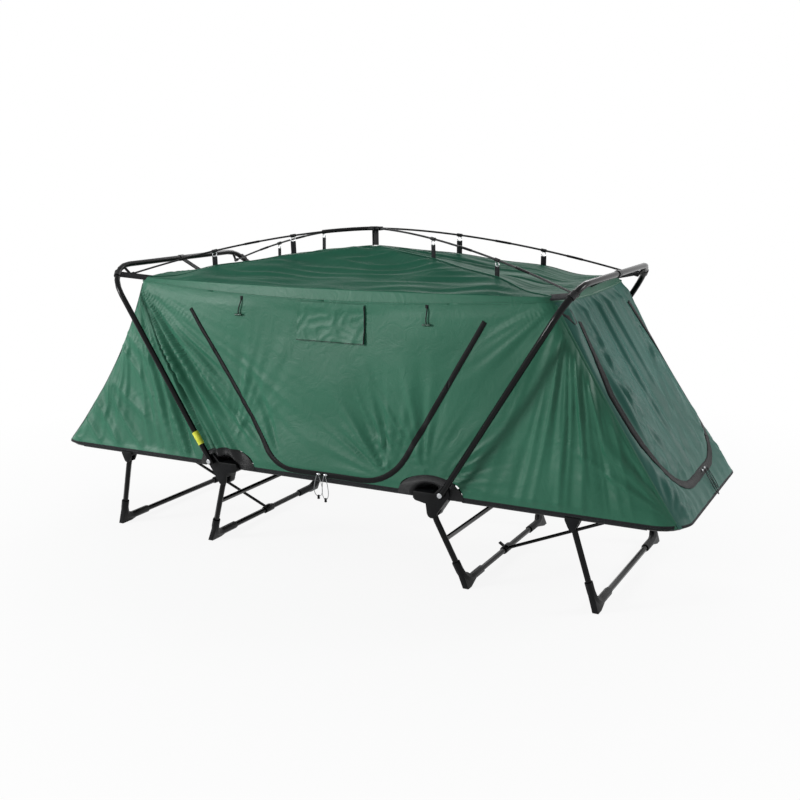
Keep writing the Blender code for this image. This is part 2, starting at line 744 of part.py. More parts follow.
for side, side_name in SIDES:
    inner_turn, inner_length, inner_lean = leg_set(
        f"{side_name}_inner",
        side,
        INNER_LEG_PIVOT,
        PIVOT_HEIGHT - INNER_LEG_DROP,
        INNER_LEG_FOOT,
        INNER_LEG_OFFSET,
        True,
    )
    leg_set(
        f"{side_name}_outer",
        side,
        OUTER_LEG_PIVOT,
        PIVOT_HEIGHT - OUTER_LEG_DROP,
        OUTER_LEG_FOOT,
        RAIL_OFFSET,
        False,
    )
    # Brackets under the end rails, each with the pin that the leg turns on
    for flank, flank_name in FLANKS:
        where = f"{side_name}_{flank_name}"
        y = flank * RAIL_OFFSET
        x = side * OUTER_LEG_PIVOT
        leg_z = PIVOT_HEIGHT - OUTER_LEG_DROP
        half_width = max(SLEEVE_RADIUS, LEG_SLOT_HALF) + BRACKET_WALL
        bracket = as_mesh(
            plate(
                f"leg_bracket_{where}",
                bracket_outline(),
                half_width * 2,
                UPRIGHT_X,
                (x, y, RAIL_HEIGHT),
                BLACK,
                parts,
                0.45,
            )
        )
        cradle = as_mesh(
            tube(
                f"cradle_{where}",
                [(x - BRACKET_LENGTH, y, RAIL_HEIGHT), (x + BRACKET_LENGTH, y, RAIL_HEIGHT)],
                (SLEEVE_RADIUS + GAP) / math.cos(math.pi / (FINE * 2 + 4)),
                FINE,
                None,
                (0, 0, 0),
                cutters,
            )
        )
        top_trim = block(
            f"bracket_trim_{where}",
            (x - BRACKET_LENGTH, y - half_width * 2, RAIL_HEIGHT - BRACKET_EAR),
            (x + BRACKET_LENGTH, y + half_width * 2, RAIL_HEIGHT + OVERRUN),
        )
        leg_gap = block(
            f"bracket_slot_{where}",
            (x - BRACKET_LENGTH, y - LEG_SLOT_HALF, leg_z - BRACKET_BOSS - OVERRUN),
            (x + BRACKET_LENGTH, y + LEG_SLOT_HALF, leg_z + LEG_TOP_CLEAR),
        )
        leg_pin = cylinder(
            f"bracket_pin_{where}",
            (x, y - LEG_SLOT_HALF - BRACKET_WALL / 2, leg_z),
            (x, y + LEG_SLOT_HALF + BRACKET_WALL / 2, leg_z),
            LEG_PIN_RADIUS,
            ROUND_SIDES // 2,
        )
        cut(bracket, cradle, top_trim, leg_gap)
        fuse(bracket, leg_pin)

    # Clip: a collar on the middle of the inner leg's cross bar, with a tab
    bar = Vector((side * INNER_LEG_FOOT, 0, BAR_HEIGHT))
    clip_radius = LEG_RADIUS + GAP + CLIP_WALL
    clip = cylinder(
        f"stay_clip_{side_name}",
        bar - Vector((0, CLIP_WIDTH / 2, 0)),
        bar + Vector((0, CLIP_WIDTH / 2, 0)),
        clip_radius,
        ROUND_SIDES,
        parts,
        BLACK,
        0.45,
    )
    clip_bore = cylinder(
        f"clip_bore_{side_name}",
        bar - Vector((0, CLIP_WIDTH, 0)),
        bar + Vector((0, CLIP_WIDTH, 0)),
        LEG_RADIUS + GAP * 2,
    )
    tab_way = Vector((-side * math.cos(math.radians(35)), 0, math.sin(math.radians(35))))
    tab_side = Vector((0, 1, 0))
    tab_across = tab_way.cross(tab_side)
    tab = block(
        f"clip_tab_{side_name}",
        (-CLIP_TAB_THICKNESS / 2, -CLIP_TAB_WIDTH / 2, 0),
        (CLIP_TAB_THICKNESS / 2, CLIP_TAB_WIDTH / 2, clip_radius + CLIP_TAB),
    )
    tab_turn = Matrix((tab_across, tab_side, tab_way)).transposed().to_4x4()
    tab.matrix_world = Matrix.Translation(bar) @ tab_turn @ tab.matrix_basis
    fuse(clip, tab)
    cut(clip, clip_bore)

    # Stay: a rod with a fork of two arms that hang from the end bar, and a
    # saddle that rests on the clip
    anchor = Vector((side * FRAME_END, 0, RAIL_HEIGHT))
    along = (anchor - bar).normalized()
    span = (anchor - bar).length
    saddle_outer = clip_radius + RUNNING + SADDLE_WALL
    rod_start = bar + along * (clip_radius + RUNNING + SADDLE_WALL / 2)
    fork = bar + along * STAY_FORK
    stay = as_mesh(
        tube(f"stay_{side_name}", [rod_start, (rod_start + fork) / 2, fork], STAY_RADIUS, MEDIUM, BLACK, anchor)
    )
    for flank, flank_name in FLANKS:
        eye_y = flank * STAY_SPREAD
        eye_outer = BORE_RADIUS + RUNNING + STAY_EYE_WALL
        eye_point = anchor + Vector((0, eye_y, 0)) - along * (BORE_RADIUS + STAY_EYE_WALL / 2)
        arm = as_mesh(
            tube(
                f"stay_arm_{side_name}_{flank_name}",
                [fork - along * STAY_RADIUS * 3 + Vector((0, flank * STAY_ARM_RADIUS / 2, 0)), eye_point],
                STAY_ARM_RADIUS,
                COARSE,
                None,
                (0, 0, 0),
                cutters,
            )
        )
        eye = cylinder(
            f"stay_eye_{side_name}_{flank_name}",
            anchor + Vector((0, eye_y - STAY_EYE_WIDTH / 2, 0)),
            anchor + Vector((0, eye_y + STAY_EYE_WIDTH / 2, 0)),
            eye_outer,
            ROUND_SIDES - 4,
        )
        fuse(stay, arm, eye)
    eye_bore = cylinder(
        f"stay_bore_{side_name}",
        anchor - Vector((0, STAY_SPREAD * 2, 0)),
        anchor + Vector((0, STAY_SPREAD * 2, 0)),
        RAIL_RADIUS + RUNNING,
    )
    outline = []
    angles = [SADDLE_START_DEGREES, 42.5, 61.0, 79.5, SADDLE_END_DEGREES]
    for degrees in angles:
        a = math.radians(degrees)
        outline.append((side * saddle_outer * math.cos(a), saddle_outer * math.sin(a)))
    inner_radius = clip_radius + RUNNING
    for degrees in reversed(angles):
        a = math.radians(degrees)
        outline.append((side * inner_radius * math.cos(a), inner_radius * math.sin(a)))
    if side < 0:
        outline.reverse()
    saddle = as_mesh(plate(f"saddle_{side_name}", outline, SADDLE_WIDTH, UPRIGHT_X, bar), False)
    keep_clear = cylinder(
        f"saddle_clear_{side_name}",
        bar - Vector((0, CLIP_WIDTH, 0)),
        bar + Vector((0, CLIP_WIDTH, 0)),
        clip_radius + RUNNING / 2,
    )
    fuse(stay, saddle)
    cut(stay, eye_bore, keep_clear)


def pole_point(reach, flank):
    """A point on a ridge pole, from its distance along the bed."""
    share = abs(reach) / POLE_FALL_REACH
    return Vector((reach, flank * abs(reach) * POLE_SLOPE, POLE_PEAK - POLE_FALL * share**POLE_CURVE))


# Hoops, with a cup for each ridge pole
hoop_paths = {}
hoop_corners = {}
for side, side_name in SIDES:
    lean = math.atan2(HOOP_TOP_REACH - HINGE_REACH, HOOP_TOP_HEIGHT - PIVOT_HEIGHT)
    height = math.hypot(HOOP_TOP_REACH - HINGE_REACH, HOOP_TOP_HEIGHT - PIVOT_HEIGHT)
    foot = Vector((side * HINGE_REACH, 0, PIVOT_HEIGHT))
    up = Vector((side * math.sin(lean), 0, math.cos(lean)))
    corners = [
        foot - up * HOOP_FOOT_SPARE - Vector((0, HOOP_OFFSET, 0)),
        foot + up * height - Vector((0, HOOP_OFFSET, 0)),
        foot + up * height + Vector((0, HOOP_OFFSET, 0)),
        foot - up * HOOP_FOOT_SPARE + Vector((0, HOOP_OFFSET, 0)),
    ]
    hoop_path = fillet(corners, HOOP_CORNER, BEND_STEPS)
    hoop_paths[side_name] = hoop_path
    hoop = as_mesh(tube(f"hoop_{side_name}", hoop_path, HOOP_RADIUS, MEDIUM, BLACK, foot, roughness=0.2))
    for flank, flank_name in FLANKS:
        where = f"{side_name}_{flank_name}"
        hole = cylinder(
            f"hoop_hole_{where}",
            foot + Vector((0, flank * HOOP_OFFSET - HOOP_RADIUS * 2, 0)),
            foot + Vector((0, flank * HOOP_OFFSET + HOOP_RADIUS * 2, 0)),
            PIN_RADIUS + RUNNING,
        )
        tip = pole_point(side * POLE_END_REACH, flank)
        inward = (pole_point(side * (POLE_END_REACH - CUP_LENGTH), flank) - tip).normalized()
        bend_centre = foot + up * (height - HOOP_CORNER) + Vector((0, flank * (HOOP_OFFSET - HOOP_CORNER), 0))
        slant = (up + Vector((0, flank, 0))).normalized()
        hoop_corners[(side_name, flank_name)] = (bend_centre + slant * HOOP_CORNER, (up - Vector((0, flank, 0))).normalized())
        outward = tip - bend_centre
        outward -= outward.project(up.cross(Vector((0, 1, 0))))
        strut_end = bend_centre + outward.normalized() * HOOP_CORNER
        cup_radius = POLE_RADIUS + RUNNING + CUP_WALL
        cup = cylinder(
            f"cup_{where}",
            tip - inward * CUP_FLOOR,
            tip + inward * CUP_LENGTH,
            cup_radius,
            ROUND_SIDES // 2,
        )
        strut = cylinder(f"cup_strut_{where}", tip, strut_end, cup_radius * 0.8, ROUND_SIDES // 2)
        cup_bore = cylinder(
            f"cup_bore_{where}",
            tip,
            tip + inward * CUP_LENGTH * 2,
            POLE_RADIUS + RUNNING * 2,
            ROUND_SIDES // 2,
        )
        cut(hoop, hole)
        fuse(hoop, strut, cup)
        cut(hoop, cup_bore)

# Ridge poles: four halves that meet in a hub over the middle of the tent
pole_start = (POLE_RADIUS + RUNNING) / POLE_SLOPE
for side, side_name in SIDES:
    for flank, flank_name in FLANKS:
        run = POLE_END_REACH - pole_start
        path = [pole_point(side * (pole_start + run * k / 14), flank) for k in range(15)]
        path[-1] = path[-1] + (path[-2] - path[-1]).normalized() * GAP
        tube(f"ridge_pole_{side_name}_{flank_name}", path, POLE_RADIUS, COARSE, BLACK, path[0], roughness=0.3)


hub_centre = Vector((0, 0, POLE_PEAK))
hub_radius = POLE_RADIUS + RUNNING + HUB_WALL
hub_height = hub_radius * 2
hub = cylinder(
    "ridge_hub",
    hub_centre - Vector((0, 0, hub_height / 2)),
    hub_centre + Vector((0, 0, hub_height / 2)),
    hub_radius * 1.6,
    ROUND_SIDES,
    parts,
    BLACK,
    0.45,
)
for side, side_name in SIDES:
    for flank, flank_name in FLANKS:
        arm_length = FERRULE_ARM if (side, flank) == (-1, -1) else HUB_ARM
        count = 5 if (side, flank) == (-1, -1) else 2
        path = [pole_point(side * arm_length * k / count, flank) for k in range(count + 1)]
        arm = as_mesh(
            tube(f"hub_arm_{side_name}_{flank_name}", path, hub_radius, COARSE, None, (0, 0, 0), cutters)
        )
        fuse(hub, arm)
hub_strap = block(
    "hub_strap",
    (-HUB_STRAP_WIDTH / 2, -STRAP_CLOTH / 2, RIDGE_HEIGHT + CANOPY_CLOTH + CLOTH_GAP),
    (HUB_STRAP_WIDTH / 2, STRAP_CLOTH / 2, POLE_PEAK - hub_radius * 0.8),
)
fuse(hub, hub_strap)
for side, side_name in SIDES:
    for flank, flank_name in FLANKS:
        reach = (FERRULE_ARM if (side, flank) == (-1, -1) else HUB_ARM) + OVERRUN
        run = POLE_END_REACH - pole_start
        path = [pole_point(side * (pole_start - GAP + run * k / 14), flank) for k in range(15)]
        path = [p for p in path if abs(p.x) < reach + run / 14]
        bore = as_mesh(
            tube(f"hub_bore_{side_name}_{flank_name}", path, POLE_RADIUS + RUNNING, COARSE, None, (0, 0, 0), cutters)
        )
        cut(hub, bore)


def lerp(a, b, share):
    return a + (b - a) * share


def tent_section(level):
    """Plan of the tent at a height share: reach at each end, half width and corner radius."""
    dip = 4 * level * (1 - level)
    head = lerp(HEM_REACH, TENT_TOP_REACH, level) - HEAD_BOW * dip
    foot = lerp(HEM_REACH, TENT_TOP_REACH, level) - FOOT_BOW * dip
    half = lerp(HEM_OFFSET, TENT_TOP_HALF_WIDTH, level) - SIDE_BOW * dip
    return head, foot, half, lerp(HEM_CORNER, TENT_TOP_CORNER, level)


def side_plan(share, level):
    """Point on the near side of the plan, share -1 to 1 from the head seam to the foot seam."""
    head, foot, half, corner = tent_section(level)
    reach = foot if share > 0 else head
    straight = reach - corner
    arc = corner * math.pi / 4
    run = abs(share) * (straight + arc)
    sign = 1 if share > 0 else -1
    if run <= straight:
        return sign * run, -half
    angle = (run - straight) / corner
    return sign * (straight + corner * math.sin(angle)), -(half - corner + corner * math.cos(angle))


def end_plan(share, level, side):
    """Point on an end of the plan, share -1 to 1 from the near seam to the far seam."""
    head, foot, half, corner = tent_section(level)
    reach = foot if side > 0 else head
    straight = half - corner
    arc = corner * math.pi / 4
    run = abs(share) * (straight + arc)
    sign = 1 if share > 0 else -1
    if run <= straight:
        return side * reach, sign * run
    angle = (run - straight) / corner
    return side * (reach - corner + corner * math.cos(angle)), sign * (straight + corner * math.sin(angle))


def seam_height(x, y, level=1.0):
    head, foot, half, corner = tent_section(level)
    reach = foot if x > 0 else head
    return (
        SEAM_HEIGHT
        - SIDE_SAG * (1 - min(1.0, (x / reach) ** 2))
        - END_SAG * (1 - min(1.0, (y / half) ** 2))
    )


def pleat(across, level, top_corner, height, share):
    """How far a fold that fans out from a top corner stands off the wall."""
    aside = abs(across) - top_corner
    drop = (1 - level) * height
    angle = math.atan2(aside, drop + PILLAR_GAP)
    near_corner = math.exp(-((aside / PLEAT_REACH) ** 2))
    calm = (1 - share**6) * math.sin(math.pi * level) ** 0.7
    return PLEAT_DEPTH * math.sin(angle * 15.0) * near_corner * calm


def side_point(share, level, flank, stand_off=0.0):
    eased = math.sin(share * math.pi * 0.44) / math.sin(math.pi * 0.44)
    x, y = side_plan(eased, level)
    z = lerp(RAIL_HEIGHT, seam_height(x, y, level), level)
    y -= pleat(x, level, TENT_TOP_REACH - TENT_TOP_CORNER, SEAM_HEIGHT - RAIL_HEIGHT, abs(share)) + stand_off
    return Vector((x, -flank * y, z))


def end_point(share, level, side):
    x, y = end_plan(share, level, side)
    z = lerp(RAIL_HEIGHT, seam_height(x, y, level), level)
    fold = pleat(y, level, TENT_TOP_HALF_WIDTH - TENT_TOP_CORNER, SEAM_HEIGHT - RAIL_HEIGHT, abs(share))
    return Vector((x + side * fold, y, z))


def cloth(name, columns, rows, place, thickness, offset, colour, origin, where=parts):
    """A grid laid out by a rule and given its thickness."""
    data = bpy.data.meshes.new(name)
    form = bmesh.new()
    bmesh.ops.create_grid(form, x_segments=columns, y_segments=rows, size=1)
    start = Vector(origin)
    for vert in form.verts:
        vert.co = place(vert.co.x, (vert.co.y + 1) / 2) - start
    form.to_mesh(data)
    form.free()
    made = add(name, data, colour, 0.4, 0.0, origin, where)
    data.shade_smooth()
    skin = made.modifiers.new("cloth", "SOLIDIFY")
    skin.thickness = thickness
    skin.offset = offset
    skin.use_even_offset = True
    return made


# A cloth panel ends a little short of its seam, so that neighbours don't touch
SIDE_RUN = TENT_TOP_REACH + TENT_TOP_CORNER
side_share = 1 - SEAM_GAP / 2 / SIDE_RUN
end_share = 1 - SEAM_GAP / 2 / TENT_TOP_HALF_WIDTH
SIDE_COLUMNS = 30
END_COLUMNS = 14
ROWS = 7

hinge_arches = []
for side, side_name in SIDES:
    arch = []
    for k in range(9):
        a = math.pi * k / 8
        arch.append((ARCH_HALF * math.cos(a) - side * BLOCK_BOSS, ARCH_TOP * math.sin(a) + PIVOT_LIFT))
    arch += [(-ARCH_HALF - side * BLOCK_BOSS, -PIVOT_LIFT * 2), (ARCH_HALF - side * BLOCK_BOSS, -PIVOT_LIFT * 2)]
    hinge_arches.append(
        as_mesh(
            plate(
                f"hinge_arch_{side_name}",
                arch,
                HEM_OFFSET * 3,
                UPRIGHT_X,
                (side * HINGE_REACH, 0, PIVOT_HEIGHT),
            )
        )
    )


def door_outline(ease):
    """Trapezium with two rounded lower corners, drawn in by ease on every side."""
    top = SEAM_HEIGHT + OVERRUN
    lean = (DOOR_TOP_HALF - DOOR_FOOT_HALF) / (SEAM_HEIGHT - DOOR_FOOT_HEIGHT)
    top_half = DOOR_TOP_HALF + OVERRUN * lean - ease
    points = [
        (-top_half, top, 0),
        (-DOOR_FOOT_HALF + ease, DOOR_FOOT_HEIGHT + ease, 0),
        (DOOR_FOOT_HALF - ease, DOOR_FOOT_HEIGHT + ease, 0),
        (top_half, top, 0),
    ]
    return [(v.x, v.y) for v in fillet(points, [0, DOOR_CORNER, DOOR_CORNER, 0], BEND_STEPS, True)]


def foot_door_outline(ease):
    top = SEAM_HEIGHT + OVERRUN
    points = [
        (-FOOT_DOOR_TOP_HALF + ease, top, 0),
        (-FOOT_DOOR_HALF + ease, FOOT_DOOR_WAIST_HEIGHT, 0),
        (-FOOT_DOOR_HALF + ease, FOOT_DOOR_SILL + ease, 0),
        (FOOT_DOOR_HALF - ease, FOOT_DOOR_SILL + ease, 0),
        (FOOT_DOOR_HALF - ease, FOOT_DOOR_WAIST_HEIGHT, 0),
        (FOOT_DOOR_TOP_HALF - ease, top, 0),
    ]
    corner = FOOT_DOOR_CORNER
    return [(v.x, v.y) for v in fillet(points, [0, 0, corner, corner, 0, 0], BEND_STEPS, True)]


door_hole = as_mesh(plate("door_hole", door_outline(0), HEM_OFFSET, UPRIGHT_X, (0, -HEM_OFFSET, 0)), False)
door_form = as_mesh(plate("door_form", door_outline(CLOTH_GAP), HEM_OFFSET, UPRIGHT_X, (0, -HEM_OFFSET, 0)), False)
end_depth = HEM_REACH
foot_hole = as_mesh(plate("foot_door_hole", foot_door_outline(0), end_depth, UPRIGHT_Y, (HEM_REACH, 0, 0)), False)
foot_form = as_mesh(
    plate("foot_door_form", foot_door_outline(CLOTH_GAP), end_depth, UPRIGHT_Y, (HEM_REACH, 0, 0)), False
)


def side_cloth(name, flank, origin, stand_off=0.0, thickness=CANOPY_CLOTH, offset=-1, where=parts):
    return cloth(
        name,
        SIDE_COLUMNS,
        ROWS,
        lambda u, v: side_point(-flank * u * side_share, v, flank, stand_off),
        thickness,
        offset,
        GREEN,
        origin,
        where,
    )


near_wall = side_cloth("near_wall", -1, (0, -HEM_OFFSET, RAIL_HEIGHT))
cut(near_wall, door_hole, *hinge_arches)
far_wall = side_cloth("far_wall", 1, (0, HEM_OFFSET, RAIL_HEIGHT))
cut(far_wall, *hinge_arches)
door_axis = (0, -TENT_TOP_HALF_WIDTH, SEAM_HEIGHT - SIDE_SAG)
near_door = side_cloth("near_door", -1, door_axis)
change(near_door, door_form, "INTERSECT")
flap_outline = [
    (FLAP_CENTRE - FLAP_WIDTH / 2, FLAP_FOOT),
    (FLAP_CENTRE + FLAP_WIDTH / 2, FLAP_FOOT),
    (FLAP_CENTRE + FLAP_WIDTH / 2, FLAP_TOP),
    (FLAP_CENTRE - FLAP_WIDTH / 2, FLAP_TOP),
]
flap_form = as_mesh(plate("flap_form", flap_outline, HEM_OFFSET, UPRIGHT_X, (0, -HEM_OFFSET, 0)), False)
flap = side_cloth("window_flap", -1, (FLAP_CENTRE, -TENT_TOP_HALF_WIDTH, FLAP_TOP), CLOTH_GAP, FLAP_CLOTH, 1)
change(flap, flap_form, "INTERSECT")

for side, side_name in SIDES:
    wall = cloth(
        f"{side_name}_wall",
        END_COLUMNS,
        ROWS,
        lambda u, v, side=side: end_point(side * u * end_share, v, side),
        CANOPY_CLOTH,
        -1,
        GREY_GREEN if side > 0 else GREEN,
        (side * HEM_REACH, 0, RAIL_HEIGHT),
    )
    for flank, flank_name in FLANKS:
        notch = cylinder(
            f"hem_notch_{side_name}_{flank_name}",
            (side * FRAME_END, flank * STAY_SPREAD - STAY_EYE_WIDTH, RAIL_HEIGHT),
            (side * FRAME_END, flank * STAY_SPREAD + STAY_EYE_WIDTH, RAIL_HEIGHT),
            HEM_NOTCH,
        )
        cut(wall, notch)
    if side > 0:
        cut(wall, foot_hole)
foot_axis = (TENT_TOP_REACH, 0, SEAM_HEIGHT - END_SAG)
foot_door = cloth(
    "foot_door",
    END_COLUMNS,
    ROWS,
    lambda u, v: end_point(u * end_share, v, 1),
    CANOPY_CLOTH,
    -1,
    GREY_GREEN,
    foot_axis,
)
change(foot_door, foot_form, "INTERSECT")

ROOF_STEPS = 14
RIDGE_BEND = 6
corner_rise = TENT_TOP_CORNER * (1 - math.sqrt(0.5))
RIDGE_SLOPE = (TENT_TOP_HALF_WIDTH - corner_rise) / (TENT_TOP_REACH - corner_rise)
valance_share = 1 - 2 / ROOF_STEPS


def roof_rim(turn_x, turn_y):
    """Plan point on the rim of the roof in the direction of a point on the unit square."""
    if abs(turn_y) >= abs(turn_x):
        share = turn_x / abs(turn_y)
        x, y = side_plan(share, 1.0)
        return Vector((x, math.copysign(y, turn_y)))
    share = turn_y / abs(turn_x)
    x, y = end_plan(share, 1.0, math.copysign(1, turn_x))
    return Vector((x, y))


def fold_height(x, y):
    return FOLD_HEIGHT - FOLD_SAG * (1 - min(1.0, (x / TENT_TOP_REACH) ** 2))


def roof_point(u, v):
    """Four facets that hang from two crossed ridges, and a short valance round them."""
    level = max(abs(u), abs(v))
    if level == 0:
        return Vector((0, 0, RIDGE_HEIGHT))
    rim = roof_rim(u / level, v / level)
    if level > valance_share + 0.001:
        z = seam_height(rim.x, rim.y) + CLOTH_GAP
        return Vector((rim.x, rim.y, z))
    share = level / valance_share
    inner = rim - Vector((math.copysign(VALANCE_INSET, rim.x) * min(1, abs(rim.x) / TENT_TOP_CORNER),
                          math.copysign(VALANCE_INSET, rim.y) * min(1, abs(rim.y) / TENT_TOP_CORNER)))
    place = inner * share
    place.y *= lerp(POLE_SLOPE / RIDGE_SLOPE, 1.0, share**RIDGE_BEND)
    rim_height = fold_height(inner.x, inner.y)
    ridge = RIDGE_HEIGHT - (RIDGE_HEIGHT - rim_height) * share**RIDGE_CURVE
    off_ridge = 1 - min(abs(u), abs(v)) / level
    sag = ROOF_SAG * math.sin(math.pi * share) * min(1.0, off_ridge * 2)
    along = lerp(ridge, RIDGE_HEIGHT - (RIDGE_HEIGHT - rim_height) * share, min(1.0, off_ridge))
    return Vector((place.x, place.y, along - sag))


roof = cloth(
    "roof",
    ROOF_STEPS,
    ROOF_STEPS,
    lambda u, v: roof_point(u, v * 2 - 1),
    CANOPY_CLOTH,
    1,
    GREEN,
    (0, 0, FOLD_HEIGHT),
)



def web(name, start, end, across, width, thickness, where=cutters):
    """A flat strap from one point to another, its width laid the way of across."""
    along = end - start
    side_way = (across - across.project(along)).normalized() * width / 2
    out = along.cross(side_way).normalized() * thickness / 2
    corners = []
    for foot in (start, end):
        for a, b in ((-1, -1), (1, -1), (1, 1), (-1, 1)):
            corners.append(foot + side_way * a + out * b)
    data = bpy.data.meshes.new(name)
    faces = [(0, 1, 2, 3), (4, 7, 6, 5), (0, 4, 5, 1), (1, 5, 6, 2), (2, 6, 7, 3), (3, 7, 4, 0)]
    data.from_pydata(corners, [], faces)
    form = bmesh.new()
    form.from_mesh(data)
    bmesh.ops.recalc_face_normals(form, faces=form.faces)
    form.to_mesh(data)
    form.free()
    return add(name, data, None, 0.5, 0.0, (0, 0, 0), where)


def ridge_place(share, side, flank):
    """A point on the outside of the roof cloth, along one ridge."""
    turn = share * valance_share
    return roof_point(side * turn, flank * turn) + Vector((0, 0, CANOPY_CLOTH + TAPE_LIFT))


# Tapes sewn along the roof's ridges, each held up to its pole by two straps
def share_at(reach, side, flank):
    low, high = 0.0, 1.0
    for _ in range(FINE * 5):
        middle = (low + high) / 2
        if abs(ridge_place(middle, side, flank).x) < reach:
            low = middle
        else:
            high = middle
    return low


def ridge_tape(side, side_name, flank, flank_name):
    first = share_at(TAPE_START, side, flank)
    last = share_at(TAPE_END, side, flank)
    along = (ridge_place(last, side, flank) - ridge_place(first, side, flank)).normalized()
    across = along.cross(Vector((0, 0, 1))).normalized() * TAPE_WIDTH / 2
    start = ridge_place(first, side, flank)
    tape = cloth(
        f"ridge_tape_{side_name}_{flank_name}",
        1,
        TAPE_ROWS,
        lambda u, v: ridge_place(lerp(first, last, v), side, flank) + across * u,
        TAPE_CLOTH,
        1,
        BLACK,
        start,
    )
    bores = []
    for k, reach in enumerate(STRAP_REACHES):
        pole = pole_point(side * reach, flank)
        way = (pole_point(side * (reach + STRAP_WIDTH), flank) - pole).normalized()
        foot = ridge_place(share_at(reach, side, flank), side, flank) + Vector((0, 0, TAPE_CLOTH / 2))
        name = f"{side_name}_{flank_name}_{k}"
        strap = web(f"strap_{name}", foot, pole - Vector((0, 0, POLE_RADIUS + LOOP_WALL / 2)), way, STRAP_WIDTH, STRAP_CLOTH)
        half = way * STRAP_WIDTH / 2
        loop = cylinder(f"strap_loop_{name}", pole - half, pole + half, POLE_RADIUS + RUNNING + LOOP_WALL, ROUND_SIDES // 2)
        bores.append(
            cylinder(f"strap_bore_{name}", pole - half * 2, pole + half * 2, POLE_RADIUS + RUNNING * 1.5, ROUND_SIDES // 2)
        )
        fuse(tape, strap, loop)
    cut(tape, *bores)
    return tape


for side, side_name in SIDES:
    for flank, flank_name in FLANKS:
        ridge_tape(side, side_name, flank, flank_name)


# Ties from the hoops to the corners and the middle of the roof's edge
def tie(name, centre, way, end, across, sheath):
    half = way * TIE_LOOP_WIDTH / 2
    ring = cylinder(
        name, centre - half, centre + half, HOOP_RADIUS + RUNNING + TIE_CLOTH, ROUND_SIDES - 4, parts, BLACK, 0.85
    )
    reach = (end - centre).normalized() * (HOOP_RADIUS + RUNNING)
    fuse(ring, web(f"{name}_strap", centre + reach, end, across, TIE_WIDTH, TIE_CLOTH))
    cut(ring, sheath)
    return ring


for side, side_name in SIDES:
    sheath = as_mesh(
        tube(
            f"hoop_sheath_{side_name}",
            hoop_paths[side_name],
            HOOP_RADIUS + RUNNING,
            MEDIUM,
            None,
            (0, 0, 0),
            cutters,
        )
    )
    rest = Vector((0, 0, CANOPY_CLOTH + CLOTH_GAP + TIE_CLOTH))
    for flank, flank_name in FLANKS:
        centre, way = hoop_corners[(side_name, flank_name)]
        end = roof_point(side * valance_share, flank * valance_share) + rest
        tie(f"tie_{side_name}_{flank_name}", centre, way, end, way, sheath)
    middle = Vector((side * HOOP_TOP_REACH, 0, HOOP_TOP_HEIGHT))
    end = roof_point(side * valance_share, 0) + rest
    tie(f"tie_{side_name}_middle", middle, Vector((0, 1, 0)), end, Vector((0, 1, 0)), sheath)

bpy.context.view_layer.update()
print("objects", len(parts.objects))
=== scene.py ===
# %% [markdown]
# # A tent cot, from frame to finished object
# A tent cot is a folding camp bed that carries its own small tent. The frame is
# already made and loads first: rails, legs, hoops and poles, each on the body it
# moves with. What this lesson adds is all that the eye reads as real: cloth that
# pulls into folds, zips, webbing, smooth tubes and mouldings, and their finishes.

# %% Load the frame
import json
import math

import bmesh
import bpy
from mathutils import Matrix, Vector, noise
from mathutils.bvhtree import BVHTree

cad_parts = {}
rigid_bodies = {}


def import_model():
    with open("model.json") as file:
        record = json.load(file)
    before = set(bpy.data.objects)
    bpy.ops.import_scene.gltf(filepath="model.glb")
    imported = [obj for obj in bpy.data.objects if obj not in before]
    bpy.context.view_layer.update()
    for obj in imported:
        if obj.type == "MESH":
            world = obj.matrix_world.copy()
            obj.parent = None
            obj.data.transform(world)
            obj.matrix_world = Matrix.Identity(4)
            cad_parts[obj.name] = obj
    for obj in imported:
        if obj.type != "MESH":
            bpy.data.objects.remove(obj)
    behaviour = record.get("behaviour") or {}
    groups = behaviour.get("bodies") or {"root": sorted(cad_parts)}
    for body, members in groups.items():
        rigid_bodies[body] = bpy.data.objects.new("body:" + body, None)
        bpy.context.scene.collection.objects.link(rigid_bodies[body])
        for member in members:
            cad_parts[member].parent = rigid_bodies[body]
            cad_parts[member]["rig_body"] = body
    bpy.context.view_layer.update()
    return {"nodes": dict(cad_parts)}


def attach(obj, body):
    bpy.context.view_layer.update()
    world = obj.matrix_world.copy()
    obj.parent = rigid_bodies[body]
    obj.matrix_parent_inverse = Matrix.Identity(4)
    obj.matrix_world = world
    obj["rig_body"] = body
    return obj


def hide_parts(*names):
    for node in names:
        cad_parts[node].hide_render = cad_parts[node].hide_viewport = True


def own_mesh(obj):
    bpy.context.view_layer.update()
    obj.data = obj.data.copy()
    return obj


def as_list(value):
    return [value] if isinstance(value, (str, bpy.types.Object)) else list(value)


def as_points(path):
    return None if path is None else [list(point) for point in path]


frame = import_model()
scene = bpy.context.scene

# %% [markdown]
# ## The camera
# The picture was taken from in front of the near side, a little towards the foot
# end, from about a tall person's eye level. A camera's own axes are right, up and
# back, so the three directions make its rotation when they are set side by side.
# The lens follows from the field of view, on the usual sensor of 36 mm.

